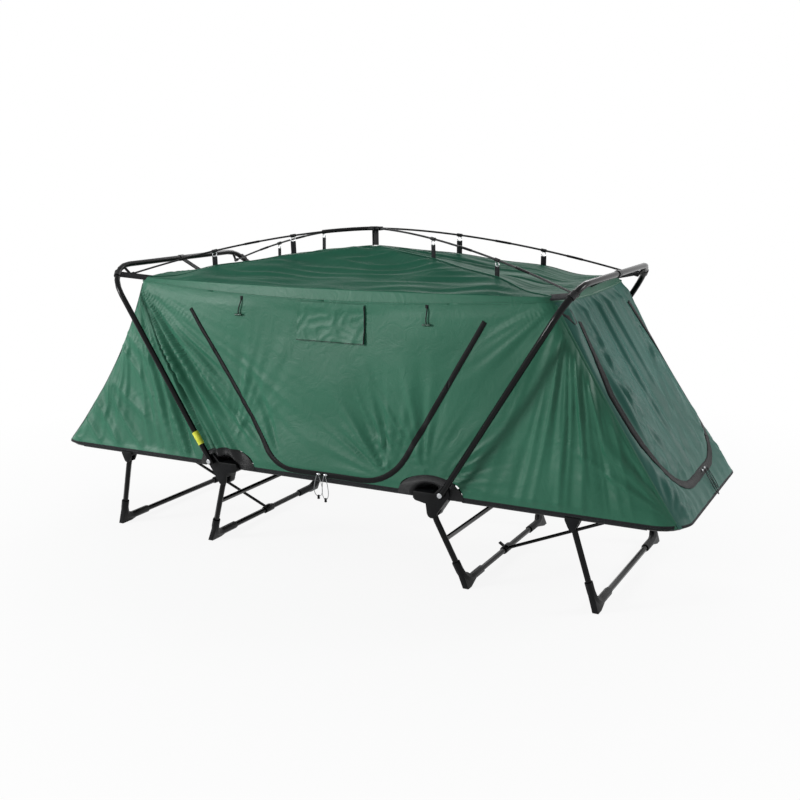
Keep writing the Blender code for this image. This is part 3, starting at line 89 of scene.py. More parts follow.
# %% Camera
YAW, PITCH, ROLL = -0.4925, 0.2168, -0.0118
EYE = Vector((1.7553, -3.1108, 1.2665))
LENS, SENSOR, FARTHEST = 47.41, 36, 60
ahead = Vector((math.sin(YAW) * math.cos(PITCH), math.cos(YAW) * math.cos(PITCH), -math.sin(PITCH)))
level_right = Vector((math.cos(YAW), -math.sin(YAW), 0))
level_up = level_right.cross(ahead)
right = level_right * math.cos(ROLL) + level_up * math.sin(ROLL)
up = level_up * math.cos(ROLL) - level_right * math.sin(ROLL)
bpy.ops.object.camera_add()
camera = bpy.context.object
camera.matrix_world = Matrix.Translation(EYE) @ Matrix((right, up, -ahead)).transposed().to_4x4()
camera.data.lens = LENS
camera.data.sensor_width = SENSOR
camera.data.clip_end = FARTHEST
scene.camera = camera
scene.view_settings.view_transform = "Standard"
print("camera at", [round(x, 3) for x in EYE])

# %% [markdown]
# ## Nodes and colours
# Every finish below is a small tree of nodes. One helper adds a node with its
# settings and its links, and one turns a colour from the usual hex notation, which
# is written for screens, into the linear values that a shader works in. The rest
# are the few patterns that the finishes share.

# %% Helpers for finishes
MM = 0.001
# The scale of a wave texture whose bands lie a metre apart
WAVE = math.pi / 10


def linear(code):
    """Linear colour from sRGB hex."""
    shares = [int(code[k : k + 2], 16) / 255 for k in (1, 3, 5)]
    return (*[s / 12.92 if s <= 0.04045 else ((s + 0.055) / 1.055) ** 2.4 for s in shares], 1.0)


def add_node(tree, kind, values=None, links=None):
    """A node with its settings and socket values, and links into it."""
    made = tree.nodes.new(kind)
    for key, value in (values or {}).items():
        if isinstance(key, str) and hasattr(made, key):
            setattr(made, key, value)
        else:
            made.inputs[key].default_value = value
    for key, source in (links or {}).items():
        tree.links.new(source, made.inputs[key])
    return made


def calc(tree, operation, *parts):
    """One step of arithmetic on sockets and numbers."""
    numbers = {k: part for k, part in enumerate(parts) if isinstance(part, float)}
    sockets = {k: part for k, part in enumerate(parts) if k not in numbers}
    return add_node(tree, "ShaderNodeMath", {"operation": operation, **numbers}, sockets).outputs[0]


def remap(tree, value, low, high, start=0.0, stop=1.0):
    """A value that runs from low to high while the given one runs from start to stop."""
    values = {"From Min": start, "From Max": stop, "To Min": low, "To Max": high}
    return add_node(tree, "ShaderNodeMapRange", values, {"Value": value}).outputs[0]


def cloud(tree, where, scale, **settings):
    return add_node(tree, "ShaderNodeTexNoise", {"Scale": scale, **settings}, {"Vector": where}).outputs[0]


def bands(tree, where, direction, spacing, **settings):
    values = {"bands_direction": direction, "Scale": WAVE / spacing, **settings}
    return add_node(tree, "ShaderNodeTexWave", values, {"Vector": where}).outputs["Fac"]


def stretched(tree, where, scale):
    return add_node(tree, "ShaderNodeMapping", {"Scale": scale}, {"Vector": where}).outputs[0]


def object_place(tree):
    return add_node(tree, "ShaderNodeTexCoord").outputs["Object"]


def own_map(tree):
    return add_node(tree, "ShaderNodeUVMap").outputs[0]


def new_finish(name, **values):
    """A material with its main shader, whose sockets take the given values."""
    made = bpy.data.materials.new(name)
    made.use_nodes = True
    tree = made.node_tree
    shader = tree.nodes["Principled BSDF"]
    for key, value in values.items():
        shader.inputs[key.replace("_", " ")].default_value = value
    return made, tree, shader


def mottle(tree, shader, where, tones, scale, stretch=(1, 1, 1), detail=3.0):
    """Colour that drifts between two tones."""
    drift = cloud(tree, stretched(tree, where, stretch), scale, Detail=detail)
    ramp = add_node(tree, "ShaderNodeValToRGB", {}, {"Fac": drift})
    for stop, position, tone in zip(ramp.color_ramp.elements, (0.35, 0.65), tones):
        stop.position = position
        stop.color = linear(tone)
    tree.links.new(ramp.outputs[0], shader.inputs["Base Color"])
    return ramp.outputs[0]


def relief(tree, shader, heights):
    """Bumps laid over one another: (height socket, depth in metres, strength) each."""
    last = None
    for height, depth, strength in heights:
        links = {"Height": height}
        if last:
            links["Normal"] = last.outputs[0]
        last = add_node(tree, "ShaderNodeBump", {"Distance": depth, "Strength": strength}, links)
    tree.links.new(last.outputs[0], shader.inputs["Normal"])


# %% [markdown]
# ## Floor and backdrop
# A plain pale floor runs out under the object and meets a world of the same white.
# The camera, and any reflection, sees both as white. The floor keeps a part of its
# own shading, so the object's soft shadow still shows on it. Farther out the floor
# fades into the world, so that no horizon shows.

# %% Floor and world
FLOOR_REACH, FLOOR_DROP = 14, 0.6 * MM
FLOOR_WHITE, FADE_FROM, FADE_TO = 0.90, 0.9, 2.6
WORLD_LIGHT = 0.22


def seen_share(tree):
    """1 for the camera's rays and for reflections, 0 for light that reaches the object."""
    rays = add_node(tree, "ShaderNodeLightPath").outputs
    seen = calc(tree, "MAXIMUM", rays["Is Camera Ray"], rays["Is Glossy Ray"])
    return calc(tree, "MAXIMUM", seen, rays["Is Transmission Ray"])


bpy.ops.mesh.primitive_circle_add(
    vertices=64, radius=FLOOR_REACH, fill_type="NGON", location=(0, 0, -FLOOR_DROP)
)
floor = bpy.context.object
floor.name = "floor"
made, tree, shader = new_finish("matt_white_floor", Base_Color=linear("#F4F4F4"), Roughness=0.9)
away = add_node(tree, "ShaderNodeVectorMath", {"operation": "LENGTH"}, {0: object_place(tree)})
fade = remap(tree, away.outputs["Value"], FLOOR_WHITE, 1.0, FADE_FROM, FADE_TO)
share = calc(tree, "MULTIPLY", seen_share(tree), fade)
glow = add_node(tree, "ShaderNodeEmission", {"Strength": 1.0})
blended = add_node(tree, "ShaderNodeMixShader", {}, {0: share, 1: shader.outputs[0], 2: glow.outputs[0]})
tree.links.new(blended.outputs[0], tree.nodes["Material Output"].inputs["Surface"])
floor.data.materials.append(made)

world = bpy.data.worlds.new("studio")
scene.world = world
world.use_nodes = True
tree = world.node_tree
tree.nodes.clear()
white = {"Color": linear("#FFFFFF")}
soft = add_node(tree, "ShaderNodeBackground", {**white, "Strength": WORLD_LIGHT}).outputs[0]
plain = add_node(tree, "ShaderNodeBackground", {**white, "Strength": 1.0}).outputs[0]
blended = add_node(tree, "ShaderNodeMixShader", {}, {0: seen_share(tree), 1: soft, 2: plain})
add_node(tree, "ShaderNodeOutputWorld", {}, {"Surface": blended.outputs[0]})
print("floor", FLOOR_REACH, "m")

# %% [markdown]
# ## Lamps
# Three large soft lamps stand round the object as they would in a studio: the main
# one high in front on the head side, a weaker one beyond the foot end, and a strip
# behind that draws a thin light along tubes and poles.

# %% Lamps
def soft_lamp(name, place, aim, size, power):
    bpy.ops.object.light_add(type="AREA", location=place)
    lamp = bpy.context.object
    lamp.name = name
    lamp.data.shape = "RECTANGLE"
    lamp.data.size, lamp.data.size_y = size
    lamp.data.energy = power
    lamp.rotation_euler = (Vector(aim) - Vector(place)).to_track_quat("-Z", "Y").to_euler()


soft_lamp("main_lamp", (-3.4, -4.0, 2.0), (0, 0, 0.6), (1.3, 1.2), 205)
soft_lamp("end_lamp", (4.3, 1.9, 2.3), (0.8, 0, 0.6), (1.4, 1.4), 78)
soft_lamp("back_lamp", (-0.6, 3.4, 3.0), (0, 0, 0.7), (3.2, 0.8), 45)

# %% [markdown]
# ## Finish: powder-coated steel tube
# The frame is mild steel tube with a black powder coat, baked on. It looks almost
# black, with a soft gloss and the faint orange peel of the flowed powder. Scuffs
# from folding and packing show as slightly duller patches.

# %% Powder-coated steel tube
def grain(size, detail=2.0, stretch=None):
    """A rule for the height of fine random grain."""
    def height(tree, where):
        return cloud(tree, stretched(tree, where, stretch) if stretch else where, 1 / size, Detail=detail)
    return height


def simple_finish(name, tones, scale, bump=None, rub=None, place=object_place, stretch=(1, 1, 1), **values):
    """Drifting tones, a bump (height rule, depth, strength), and patches that are rubbed dull."""
    made, tree, shader = new_finish(name, **values)
    where = place(tree)
    mottle(tree, shader, where, tones, scale, stretch)
    if rub:
        size, start, stop, smooth, dull = rub
        worn = remap(tree, cloud(tree, where, size, Detail=6.0, Roughness=0.65), 0.0, 1.0, start, stop)
        tree.links.new(remap(tree, worn, smooth, dull), shader.inputs["Roughness"])
    if bump:
        height, depth, strength = bump
        relief(tree, shader, [(height(tree, where), depth, strength)])
    return made


tube_black = simple_finish(
    "powder_coated_steel_tube", ("#060708", "#0D0E0F"), 18, (grain(1.4 * MM), 0.03 * MM, 0.5),
    rub=(55, 0.60, 0.74, 0.18, 0.42), Roughness=0.20, Specular_IOR_Level=0.14,
)

# %% [markdown]
# ## Finish: moulded nylon
# Hinge blocks, brackets, clips and foot caps are black nylon from a mould. The
# mould's fine spark texture leaves a dull, slightly grainy skin.

# %% Moulded nylon
nylon_black = simple_finish(
    "moulded_black_nylon", ("#08090A", "#101113"), 30, (grain(0.7 * MM, 3.0), 0.06 * MM, 0.6),
    rub=(40, 0.58, 0.75, 0.42, 0.6), Roughness=0.42, IOR=1.53, Specular_IOR_Level=0.12,
)

# %% [markdown]
# ## Finish: zinc-plated steel
# Pins, rings and zip sliders are steel with bright zinc. The plating is a true metal,
# so it keeps the default index, and only its roughness drifts.

# %% Zinc-plated steel
zinc = simple_finish(
    "zinc_plated_steel", ("#A9ABAD", "#C4C6C8"), 140,
    rub=(220, 0.4, 0.7, 0.2, 0.42), Metallic=1.0, Roughness=0.28,
)

# %% [markdown]
# ## Finish: glass-fibre rod
# The ridge poles are pultruded glass fibre, pulled through a die in black resin.
# The fibres run along the rod, so its streaks are long and narrow.

# %% Glass-fibre rod
rod_black = simple_finish(
    "pultruded_glass_fibre", ("#0D0E0F", "#1E2022"), 60,
    (grain(0.8 * MM, stretch=(0.05, 1, 1)), 0.04 * MM, 0.5), stretch=(0.15, 1, 1),
    Roughness=0.3, IOR=1.52, Specular_IOR_Level=0.25,
)

# %% [markdown]
# ## Finish: coated tent nylon
# The tent is plain-woven nylon with a waterproof coat on its inner face. The coat
# makes it slightly glossy and stiff, so besides its big folds it keeps a crinkle
# from being packed. The weave is far too fine to show, so it is drawn at about
# three times its true thread spacing.

# %% Coated tent nylon
THREAD, CRINKLE = 1.3 * MM, 60 * MM


def weave(tree, where, spacing, axes):
    """Height of a plain weave: two sets of threads across one another."""
    threads = [bands(tree, where, axis, spacing, Distortion=0.4, Detail=1.0) for axis in axes]
    return calc(tree, "MULTIPLY", *threads)


def tent_nylon(name, tones, roughness, axes, gloss_level, crinkle_depth):
    made, tree, shader = new_finish(
        name, Roughness=roughness, IOR=1.53, Specular_IOR_Level=gloss_level,
        Sheen_Weight=0.02, Sheen_Roughness=0.45, Sheen_Tint=linear("#C9DDD2"),
    )
    where = object_place(tree)
    mottle(tree, shader, where, tones, 2.4, (1, 1, 1.6), 4.0)
    shine = cloud(tree, where, 5.0, Detail=4.0)
    tree.links.new(remap(tree, shine, roughness - 0.07, roughness + 0.09), shader.inputs["Roughness"])
    crinkle = cloud(tree, where, 1 / CRINKLE, Detail=5.0, Distortion=1.2)
    sharp = calc(tree, "ABSOLUTE", calc(tree, "SUBTRACT", crinkle, 0.5))
    threads = weave(tree, where, THREAD, axes)
    relief(tree, shader, [(threads, 0.10 * MM, 0.35), (sharp, crinkle_depth, 0.34)])
    return made


nylon_green = tent_nylon("coated_nylon_green", ("#265F49", "#2D6851"), 0.47, "XZ", 0.25, 7 * MM)
# The roof's copy of the wall nylon has darker tones, which are painted shade on its upward faces.
roof_nylon_painted_shade = tent_nylon("coated_nylon_green_roof_painted_shade", ("#225745", "#2A624D"), 0.55, "XY", 0.07, 8 * MM)
# A greyer green for the foot end. Its tones are made paler and bluer by a painted reflection of the white
# backdrop.
nylon_grey_green_painted_reflection = tent_nylon("coated_nylon_grey_green", ("#295C51", "#35695F"), 0.44, "YZ", 0.17, 1.8 * MM)
# A dark copy of the nylon, which is painted shade: it darkens the crease of the corner seams and the strip
# under the window flap's foot.
painted_shade_green = tent_nylon("painted_shade_dark_green", ("#0E2A21", "#143529"), 0.5, "XZ", 0.2, 3 * MM)
print("nylons", [m.name for m in bpy.data.materials if "nylon" in m.name])

# %% [markdown]
# ## Finish: woven polyester and webbing
# The bed cloth is a heavy black polyester in a basket weave. Webbing is woven too,
# with ribs across its width and two rows of stitches, which follow the piece's own
# measure along its length. That measure is the piece's UV map, in metres.

# %% Woven polyester and webbing
def woven(name, tones, spacing, roughness, axes):
    def height(tree, where):
        return weave(tree, where, spacing, axes)
    values = {"Roughness": roughness, "Specular_IOR_Level": 0.2, "Sheen_Weight": 0.05}
    return simple_finish(name, tones, 26, (height, 0.35 * MM, 0.7), **values)


bed_cloth = woven("woven_black_polyester", ("#121315", "#1C1D20"), 2.2 * MM, 0.72, "XY")
patch_cloth = woven("coated_black_polyester", ("#0B0C0D", "#151618"), 1.6 * MM, 0.36, "XZ")

webbing, tree, shader = new_finish(
    "black_webbing", Roughness=0.62, Specular_IOR_Level=0.15, Sheen_Weight=0.04
)
along = own_map(tree)
tones = mottle(tree, shader, along, ("#0B0C0E", "#17181B"), 90)
across = add_node(tree, "ShaderNodeSeparateXYZ", {}, {"Vector": along}).outputs["Y"]
row = calc(tree, "COMPARE", calc(tree, "ABSOLUTE", across), 2.6 * MM, 0.35 * MM)
beat = calc(tree, "GREATER_THAN", bands(tree, along, "X", 4.2 * MM), 0.35)
stitch = calc(tree, "MULTIPLY", row, beat)
thread = add_node(
    tree, "ShaderNodeMix", {"data_type": "RGBA", 7: linear("#3B3E42")}, {0: stitch, 6: tones}
)
tree.links.new(thread.outputs[2], shader.inputs["Base Color"])
ribs, threads = bands(tree, along, "X", 1.8 * MM), bands(tree, along, "Y", 1.2 * MM)
relief(tree, shader, [(ribs, 0.3 * MM, 0.8), (threads, 0.12 * MM, 0.5), (stitch, -0.25 * MM, 0.6)])

# %% [markdown]
# ## Finish: zip, tape, cord and toggle
# A zip is a woven tape with a row of coil teeth down its middle. Cords are braided,
# so their relief is a slanting wave. The toggle is green acetal from a mould, and
# the marker on the hoop is plain yellow vinyl tape.

# %% Zip, tape, cord and toggle
def ribbed(spacing, direction="DIAGONAL"):
    """A rule for the height of even ribs."""
    def height(tree, where):
        return bands(tree, where, direction, spacing)
    return height


zip_tape = simple_finish(
    "black_zip_coil", ("#070809", "#0E0F10"), 120, (ribbed(2.0 * MM, "X"), 0.35 * MM, 0.8),
    place=own_map, Roughness=0.42, Specular_IOR_Level=0.12,
)
yellow_tape = simple_finish("yellow_vinyl_tape", ("#CDD32E", "#DDE04A"), 60, Roughness=0.34, IOR=1.52)
pale_cord = simple_finish(
    "braided_pale_cord", ("#7C7E80", "#A4A6A6"), 400, (ribbed(0.9 * MM), 0.12 * MM, 0.7),
    Roughness=0.6, Specular_IOR_Level=0.3,
)
green_toggle = simple_finish(
    "moulded_green_acetal", ("#16382B", "#1D4535"), 80, (grain(0.6 * MM), 0.04 * MM, 0.5), Roughness=0.38
)
elastic = simple_finish(
    "braided_elastic", ("#111214", "#202226"), 300, (ribbed(1.0 * MM), 0.15 * MM, 0.7),
    Roughness=0.6, Specular_IOR_Level=0.2, Sheen_Weight=0.05,
)
print("finishes", len(bpy.data.materials))

# %% [markdown]
# ## Sizes
# The cloth has to meet the frame, so the sizes that shaped the frame are written
# here once more, in metres. X runs along the bed, the near side is at -Y.

# %% Sizes
RAIL_OFFSET, RAIL_HEIGHT = 0.3475, 0.2905
HINGE_REACH, PIVOT_HEIGHT = 0.432, 0.3085
HEM_OFFSET, HEM_REACH, HEM_CORNER = 0.3626, 1.1531, 0.0901
TOP_REACH, TOP_HALF, TOP_CORNER = 0.765, 0.331, 0.060
SEAM_HEIGHT, SIDE_SAG, END_SAG = 0.897, 0.034, 0.012
HEAD_BOW, FOOT_BOW, SIDE_BOW = 0.040, 0.010, 0.006
VALANCE_INSET, FOLD_HEIGHT, FOLD_SAG = 0.010, 0.909, 0.008
ROOF_PEAK, RIDGE_CURVE, ROOF_SAG = 1.012, 1.3, 0.010
VALANCE_CELLS = 14
VALANCE_SHARE = 1 - 2 / VALANCE_CELLS
POLE_RADIUS, POLE_PEAK, POLE_FALL, POLE_FALL_REACH = 0.00325, 1.070, 0.2330, 1.0336
POLE_CURVE, POLE_SLOPE, POLE_END = 1.687, 0.3735, 0.812
HOOP_RADIUS, HOOP_OFFSET, HOOP_CORNER = 0.0095, 0.3923, 0.110
HOOP_REACH, HOOP_HEIGHT = 0.836, 0.948
CLOTH = 1.2 * MM
SIDES = ((-1, "head"), (1, "foot"))
FLANKS = ((-1, "near"), (1, "far"))
CORNERS = [(side, flank, f"{a}_{b}") for side, a in SIDES for flank, b in FLANKS]
NEAR, FAR = Vector((0, -1, 0)), Vector((0, 1, 0))
FOOTWARD, UPWARD, DOWN = Vector((1, 0, 0)), Vector((0, 0, 1)), Vector((0, 0, -1))


def lerp(a, b, share):
    return a + (b - a) * share


def clamp(share):
    return max(0.0, min(1.0, share))


def trace(count, rule):
    """What a rule gives at even shares from 0 to 1."""
    return [rule(k / count) for k in range(count + 1)]


def on_near(x, z, flank=-1):
    """A place outside a side wall, to be cast onto it."""
    return Vector((x, flank * 0.4, z))


def on_end(y, z, side=1):
    """A place outside an end wall, to be cast onto it."""
    return Vector((side * 1.2, y, z))


# %% [markdown]
# ## The form of the tent
# The tent's plan is a rounded rectangle, widest at the hem round the rails and
# smaller at the seam under the roof. A side wall runs from the middle of one rounded
# corner to the middle of the next, and so do the end walls. A point on a wall
# is found from how far along it is and how high.

# %% Form of the tent
def tent_section(level):
    """Reach at the head and the foot, half width, and corner radius at a height."""
    dip = 4 * level * (1 - level)
    head = lerp(HEM_REACH, TOP_REACH, level) - HEAD_BOW * dip
    foot = lerp(HEM_REACH, TOP_REACH, level) - FOOT_BOW * dip
    half = lerp(HEM_OFFSET, TOP_HALF, level) - SIDE_BOW * dip
    return head, foot, half, lerp(HEM_CORNER, TOP_CORNER, level)


def round_corner(share, reach, half, corner):
    """Along a straight run, then round half a corner: (forward, across)."""
    straight = reach - corner
    run = abs(share) * (straight + corner * math.pi / 4)
    if run <= straight:
        return math.copysign(run, share), half
    angle = (run - straight) / corner
    return math.copysign(straight + corner * math.sin(angle), share), half - corner + corner * math.cos(angle)


def side_plan(share, level):
    head, foot, half, corner = tent_section(level)
    return round_corner(share, foot if share > 0 else head, half, corner)


def end_plan(share, level, side):
    head, foot, half, corner = tent_section(level)
    y, x = round_corner(share, half, foot if side > 0 else head, corner)
    return side * x, y


def seam_height(x, y, level=1.0):
    head, foot, half, _ = tent_section(level)
    reach = foot if x > 0 else head
    return SEAM_HEIGHT - SIDE_SAG * (1 - min(1, (x / reach) ** 2)) - END_SAG * (1 - min(1, (y / half) ** 2))


# %% [markdown]
# ## Outlines of the doors
# A door is what its zip goes round: a few straight runs with wide bends between
# them, which a slider can follow. So each outline is its corners and their radii,
# as a pattern cutter would note it.

# %% Outlines of the doors
def bend(points, radii, steps=10, closed=False):
    """A line with its corners rounded, in the plane or in space."""
    made = []
    count = len(points)
    for k, here in enumerate(points):
        if (not closed and k in (0, count - 1)) or not radii[k]:
            made.append(here)
            continue
        to_back = (points[k - 1] - here).normalized()
        to_on = (points[(k + 1) % count] - here).normalized()
        half = to_back.angle(to_on) / 2
        centre = here + (to_back + to_on).normalized() * radii[k] / math.sin(half)
        first = here + to_back * radii[k] / math.tan(half) - centre
        last = here + to_on * radii[k] / math.tan(half) - centre
        made += [centre + first.slerp(last, j / steps) * radii[k] for j in range(steps + 1)]
    return made


def outline(points, radii):
    return [tuple(p) for p in bend([Vector(p) for p in points], radii, 8, closed=True)]


DOOR_TOP_LEFT, DOOR_FOOT_LEFT = (-0.586, 0.907), (-0.180, 0.309)
DOOR_EDGE = outline([DOOR_TOP_LEFT, DOOR_FOOT_LEFT, (0.240, 0.309), (0.592, 0.907)], [0, 0.130, 0.170, 0])
FOOT_FLANK = [(-0.243, 0.874), (-0.294, 0.640), (-0.290, 0.358)]
FOOT_EDGE = outline(FOOT_FLANK + [(-y, z) for y, z in FOOT_FLANK[::-1]], [0, 0, 0.185, 0.185, 0, 0])
print("door outlines", len(DOOR_EDGE), len(FOOT_EDGE), "points")

# %% [markdown]
# ## How the cloth folds
# Cloth that is pulled at a point folds in rays from that point. Each pull below has
# a place, a reach, a depth and a number of rays. The rays' heights come from a smooth
# noise that is read round a circle, so they are uneven, as real folds are: a sharp
# crest, then a broad hollow. Folds die out at seams and at the hem, where the cloth
# is held. Folded geometry was chosen over a painted bump, because the folds are
# deep enough to change the outline of shadows and highlights.

# %% Folds
def crest(spot, power=1.5):
    """Ridged noise: 1 along sharp crests, falling to 0 in the hollows."""
    return (1 - min(1.0, abs(noise.noise(Vector(spot))) * 2.6)) ** power


def pull(across, height, place, aim, spread, reach, depth, rays, seed):
    """Height, in metres, of folds that fan out from a place towards an aim in degrees."""
    aside, drop = across - place[0], height - place[1]
    distance = math.hypot(aside, drop)
    near = distance / reach
    if near > 3.2 or distance < 1e-6:
        return 0.0
    angle = math.atan2(drop, aside)
    off = (math.degrees(angle) - aim + 180) % 360 - 180
    if abs(off) > spread * 2.2:
        return 0.0
    turn = Vector((math.cos(angle) * rays, math.sin(angle) * rays, seed + distance * 1.2))
    wave = crest(turn) - 0.25 + 0.9 * noise.noise(turn * 1.7) + 0.3 * crest(turn * 2.3)
    return depth * wave * near * math.exp(0.5 * (1 - near * near) - (off / spread) ** 2)


def beside(x, z, edge):
    """Distance from a point to an open outline."""
    best = math.inf
    for (ax, az), (bx, bz) in zip(edge, edge[1:]):
        run_x, run_z = bx - ax, bz - az
        share = clamp(((x - ax) * run_x + (z - az) * run_z) / (run_x**2 + run_z**2))
        best = min(best, math.hypot(x - ax - share * run_x, z - az - share * run_z))
    return best


def held(level, seam=0.05):
    """0 at the hem and at the seam, where the cloth is sewn down, and 1 between them."""
    return clamp(level / 0.05) * clamp((1 - level) / seam)


# %% [markdown]
# ## Folds of the walls
# The roof's corners pull hardest, and the near wall's zip, the hinge openings and
# the hem's corners pull a little. Along a zip the cloth lies calm, because the
# tape stiffens it. The end walls hang in long folds from top to bottom.

# %% Folds of the walls
# Place, aim, spread, reach, depth, rays, seed
SIDE_PULLS = [
    ((-0.785, 0.925), -58, 22, 0.42, 0.020, 10.0, 6.3),
    ((-0.785, 0.925), -56, 24, 0.40, 0.014, 19.0, 27.3),
    ((-0.785, 0.925), -105, 16, 0.30, 0.010, 7.0, 43.1),
    ((0.80, 0.93), -88, 22, 0.36, 0.014, 8.0, 11.7),
    ((0.80, 0.93), -140, 16, 0.16, 0.008, 6.0, 31.7),
    ((-0.36, 0.345), 72, 24, 0.16, 0.008, 6.0, 21.3),
    ((0.36, 0.345), 105, 40, 0.13, 0.013, 4.6, 5.9),
    ((0.40, 0.345), 20, 40, 0.10, 0.009, 4.6, 7.9),
    ((1.14, 0.30), 130, 30, 0.16, 0.009, 6.0, 14.6),
    ((-0.15, 0.305), 128, 22, 0.15, 0.016, 4.0, 30.4),
    ((0.24, 0.32), 118, 42, 0.12, 0.013, 5.2, 17.2),
]
NEAR_SEED, FAR_SEED, HEAD_SEED, FOOT_SEED = 0, 50, 90, 70
HEM_ROLL, HEM_BAND = 1.2 * MM, 16 * MM


def side_folds(x, z, level, seed):
    folds = sum(pull(x, z, *values[:-1], values[-1] + seed) for values in SIDE_PULLS)
    aside, along = x * 0.77 + z * 0.64, x * 0.64 - z * 0.77
    folds += crest((aside * 13, along * 2.4, seed + 9)) * 0.012 * clamp((-x - 0.66) / 0.16)
    broad = noise.noise(Vector((x * 2.6, z * 4.2, seed + 0.5))) * 0.013
    slack = noise.noise(Vector((x * 7.0 + z * 3, z * 9.0, seed + 4.5))) * 0.0028
    calm = 1.0
    if seed == NEAR_SEED:
        calm -= 0.8 * math.exp(-((beside(x, z, DOOR_EDGE) / 0.018) ** 2))
        door_drop = (DOOR_TOP_LEFT[1] - z) / (DOOR_TOP_LEFT[1] - DOOR_FOOT_LEFT[1])
        if x > lerp(DOOR_TOP_LEFT[0], DOOR_FOOT_LEFT[0], door_drop):
            folds -= 0.7 * sum(pull(x, z, *values) for values in SIDE_PULLS[:3])
    return (folds * calm + broad + slack) * held(level, 0.06) ** 2


def hem_roll(z):
    return HEM_ROLL if z < RAIL_HEIGHT + HEM_BAND else 0.0


def side_point(share, level, flank):
    eased = math.sin(share * math.pi * 0.44) / math.sin(math.pi * 0.44)
    x, y = side_plan(eased, level)
    z = lerp(RAIL_HEIGHT, seam_height(x, y, level), level)
    inner = 1 - clamp((abs(share) - 0.93) / 0.07)
    y += side_folds(x, z, level, NEAR_SEED if flank < 0 else FAR_SEED) * inner + hem_roll(z)
    return Vector((x, flank * y, z))


def end_folds(y, z, level, side):
    seed = FOOT_SEED if side > 0 else HEAD_SEED
    folds = 0.0
    for flank in (-1, 1):
        folds += pull(y, z, (flank * 0.30, 0.93), -90 - flank * 12, 24, 0.30, 0.010, 7.5, seed + flank)
        folds += pull(y, z, (flank * 0.34, 0.30), 90 + flank * 35, 35, 0.12, 0.008, 5.0, seed + 5 * flank)
    across = y / (1.25 - 0.30 * level)
    streaks = crest((across * 13, z * 0.5, seed)) + 0.45 * crest((across * 30, z * 0.7, seed + 3))
    folds += streaks * 0.020 * (0.3 + 0.7 * level)
    if side > 0:
        folds *= 1 - 0.95 * math.exp(-((beside(y, z, FOOT_EDGE) / 0.026) ** 2))
    return (folds + noise.noise(Vector((y * 5, z * 3, seed + 2))) * 0.005) * held(level)


def end_point(share, level, side):
    x, y = end_plan(share, level, side)
    z = lerp(RAIL_HEIGHT, seam_height(x, y, level), level)
    inner = 1 - clamp((abs(share) - 0.82) / 0.18)
    return Vector((x + side * (end_folds(y, z, level, side) * inner + hem_roll(z)), y, z))


# %% [markdown]
# ## How a sheet is made
# A grid is added, and each of its points is put where the form says. Its normals are
# kept before it is cut up, so that the parts still shade as one sheet where they
# meet. The Solidify modifier then gives the cloth its thickness inwards.

# %% Making sheets
def pick(piece):
    """Selects one piece and nothing else."""
    bpy.ops.object.select_all(action="DESELECT")
    bpy.context.view_layer.objects.active = piece
    piece.select_set(True)


def adopt(name, data, finish=None):
    """An object in the scene for a mesh or a curve."""
    piece = bpy.data.objects.new(name, data)
    scene.collection.objects.link(piece)
    if finish:
        data.materials.clear()
        data.materials.append(finish)
    pick(piece)
    return piece


def smooth(piece, angle):
    pick(piece)
    bpy.ops.object.shade_smooth_by_angle(angle=math.radians(angle))


def add_sheet(name, columns, rows, place, finish):
    """A grid laid out by a rule over (-1..1, 0..1)."""
    bpy.ops.mesh.primitive_grid_add(x_subdivisions=columns, y_subdivisions=rows, size=2)
    sheet = bpy.context.object
    sheet.name = name
    for vert in sheet.data.vertices:
        vert.co = place(vert.co.x, (vert.co.y + 1) / 2)
    sheet.data.update()
    normals = sheet.data.attributes.new("lay", "FLOAT_VECTOR", "POINT")
    for vert, kept in zip(sheet.data.vertices, normals.data):
        kept.vector = vert.normal
    sheet.data.materials.append(finish)
    return sheet


def surface_of(data):
    """A mesh's points and faces in a tree that rays can be cast at."""
    faces = [tuple(face.vertices) for face in data.polygons]
    return BVHTree.FromPolygons([vert.co.copy() for vert in data.vertices], faces)


def thicken(piece, thickness):
    """Gives a sheet its thickness, and shades it as the whole sheet that it was part of."""
    kept = [Vector(v.vector).normalized() for v in piece.data.attributes["lay"].data]
    skin = piece.modifiers.new("cloth", "SOLIDIFY")
    skin.thickness = thickness
    skin.offset = -1
    pick(piece)
    bpy.ops.object.modifier_apply(modifier=skin.name)
    bpy.ops.object.shade_smooth()
    if len(piece.data.vertices) == 2 * len(kept):
        piece.data.normals_split_custom_set_from_vertices([*kept, *[-n for n in kept]])
    else:
        print("normals left as they are on", piece.name)


# %% [markdown]
# ## Cutting a sheet
# A door or an opening is cut out as a cutter does it: a straight cut along each run
# of the outline, kept to the faces beside that run. The faces inside the outline
# then become a piece of their own. A Boolean would cut as well, but it needs closed
# solids, and these sheets are open.

# %% Cutting sheets
BESIDE_CUT = 0.02


def inside_of(edges, x, y):
    """Whether a place lies inside a closed convex outline."""
    turn = sum(a[0] * b[1] - b[0] * a[1] for a, b in edges)
    return all(((b[0] - a[0]) * (y - a[1]) - (b[1] - a[1]) * (x - a[0])) * turn > 0 for a, b in edges)


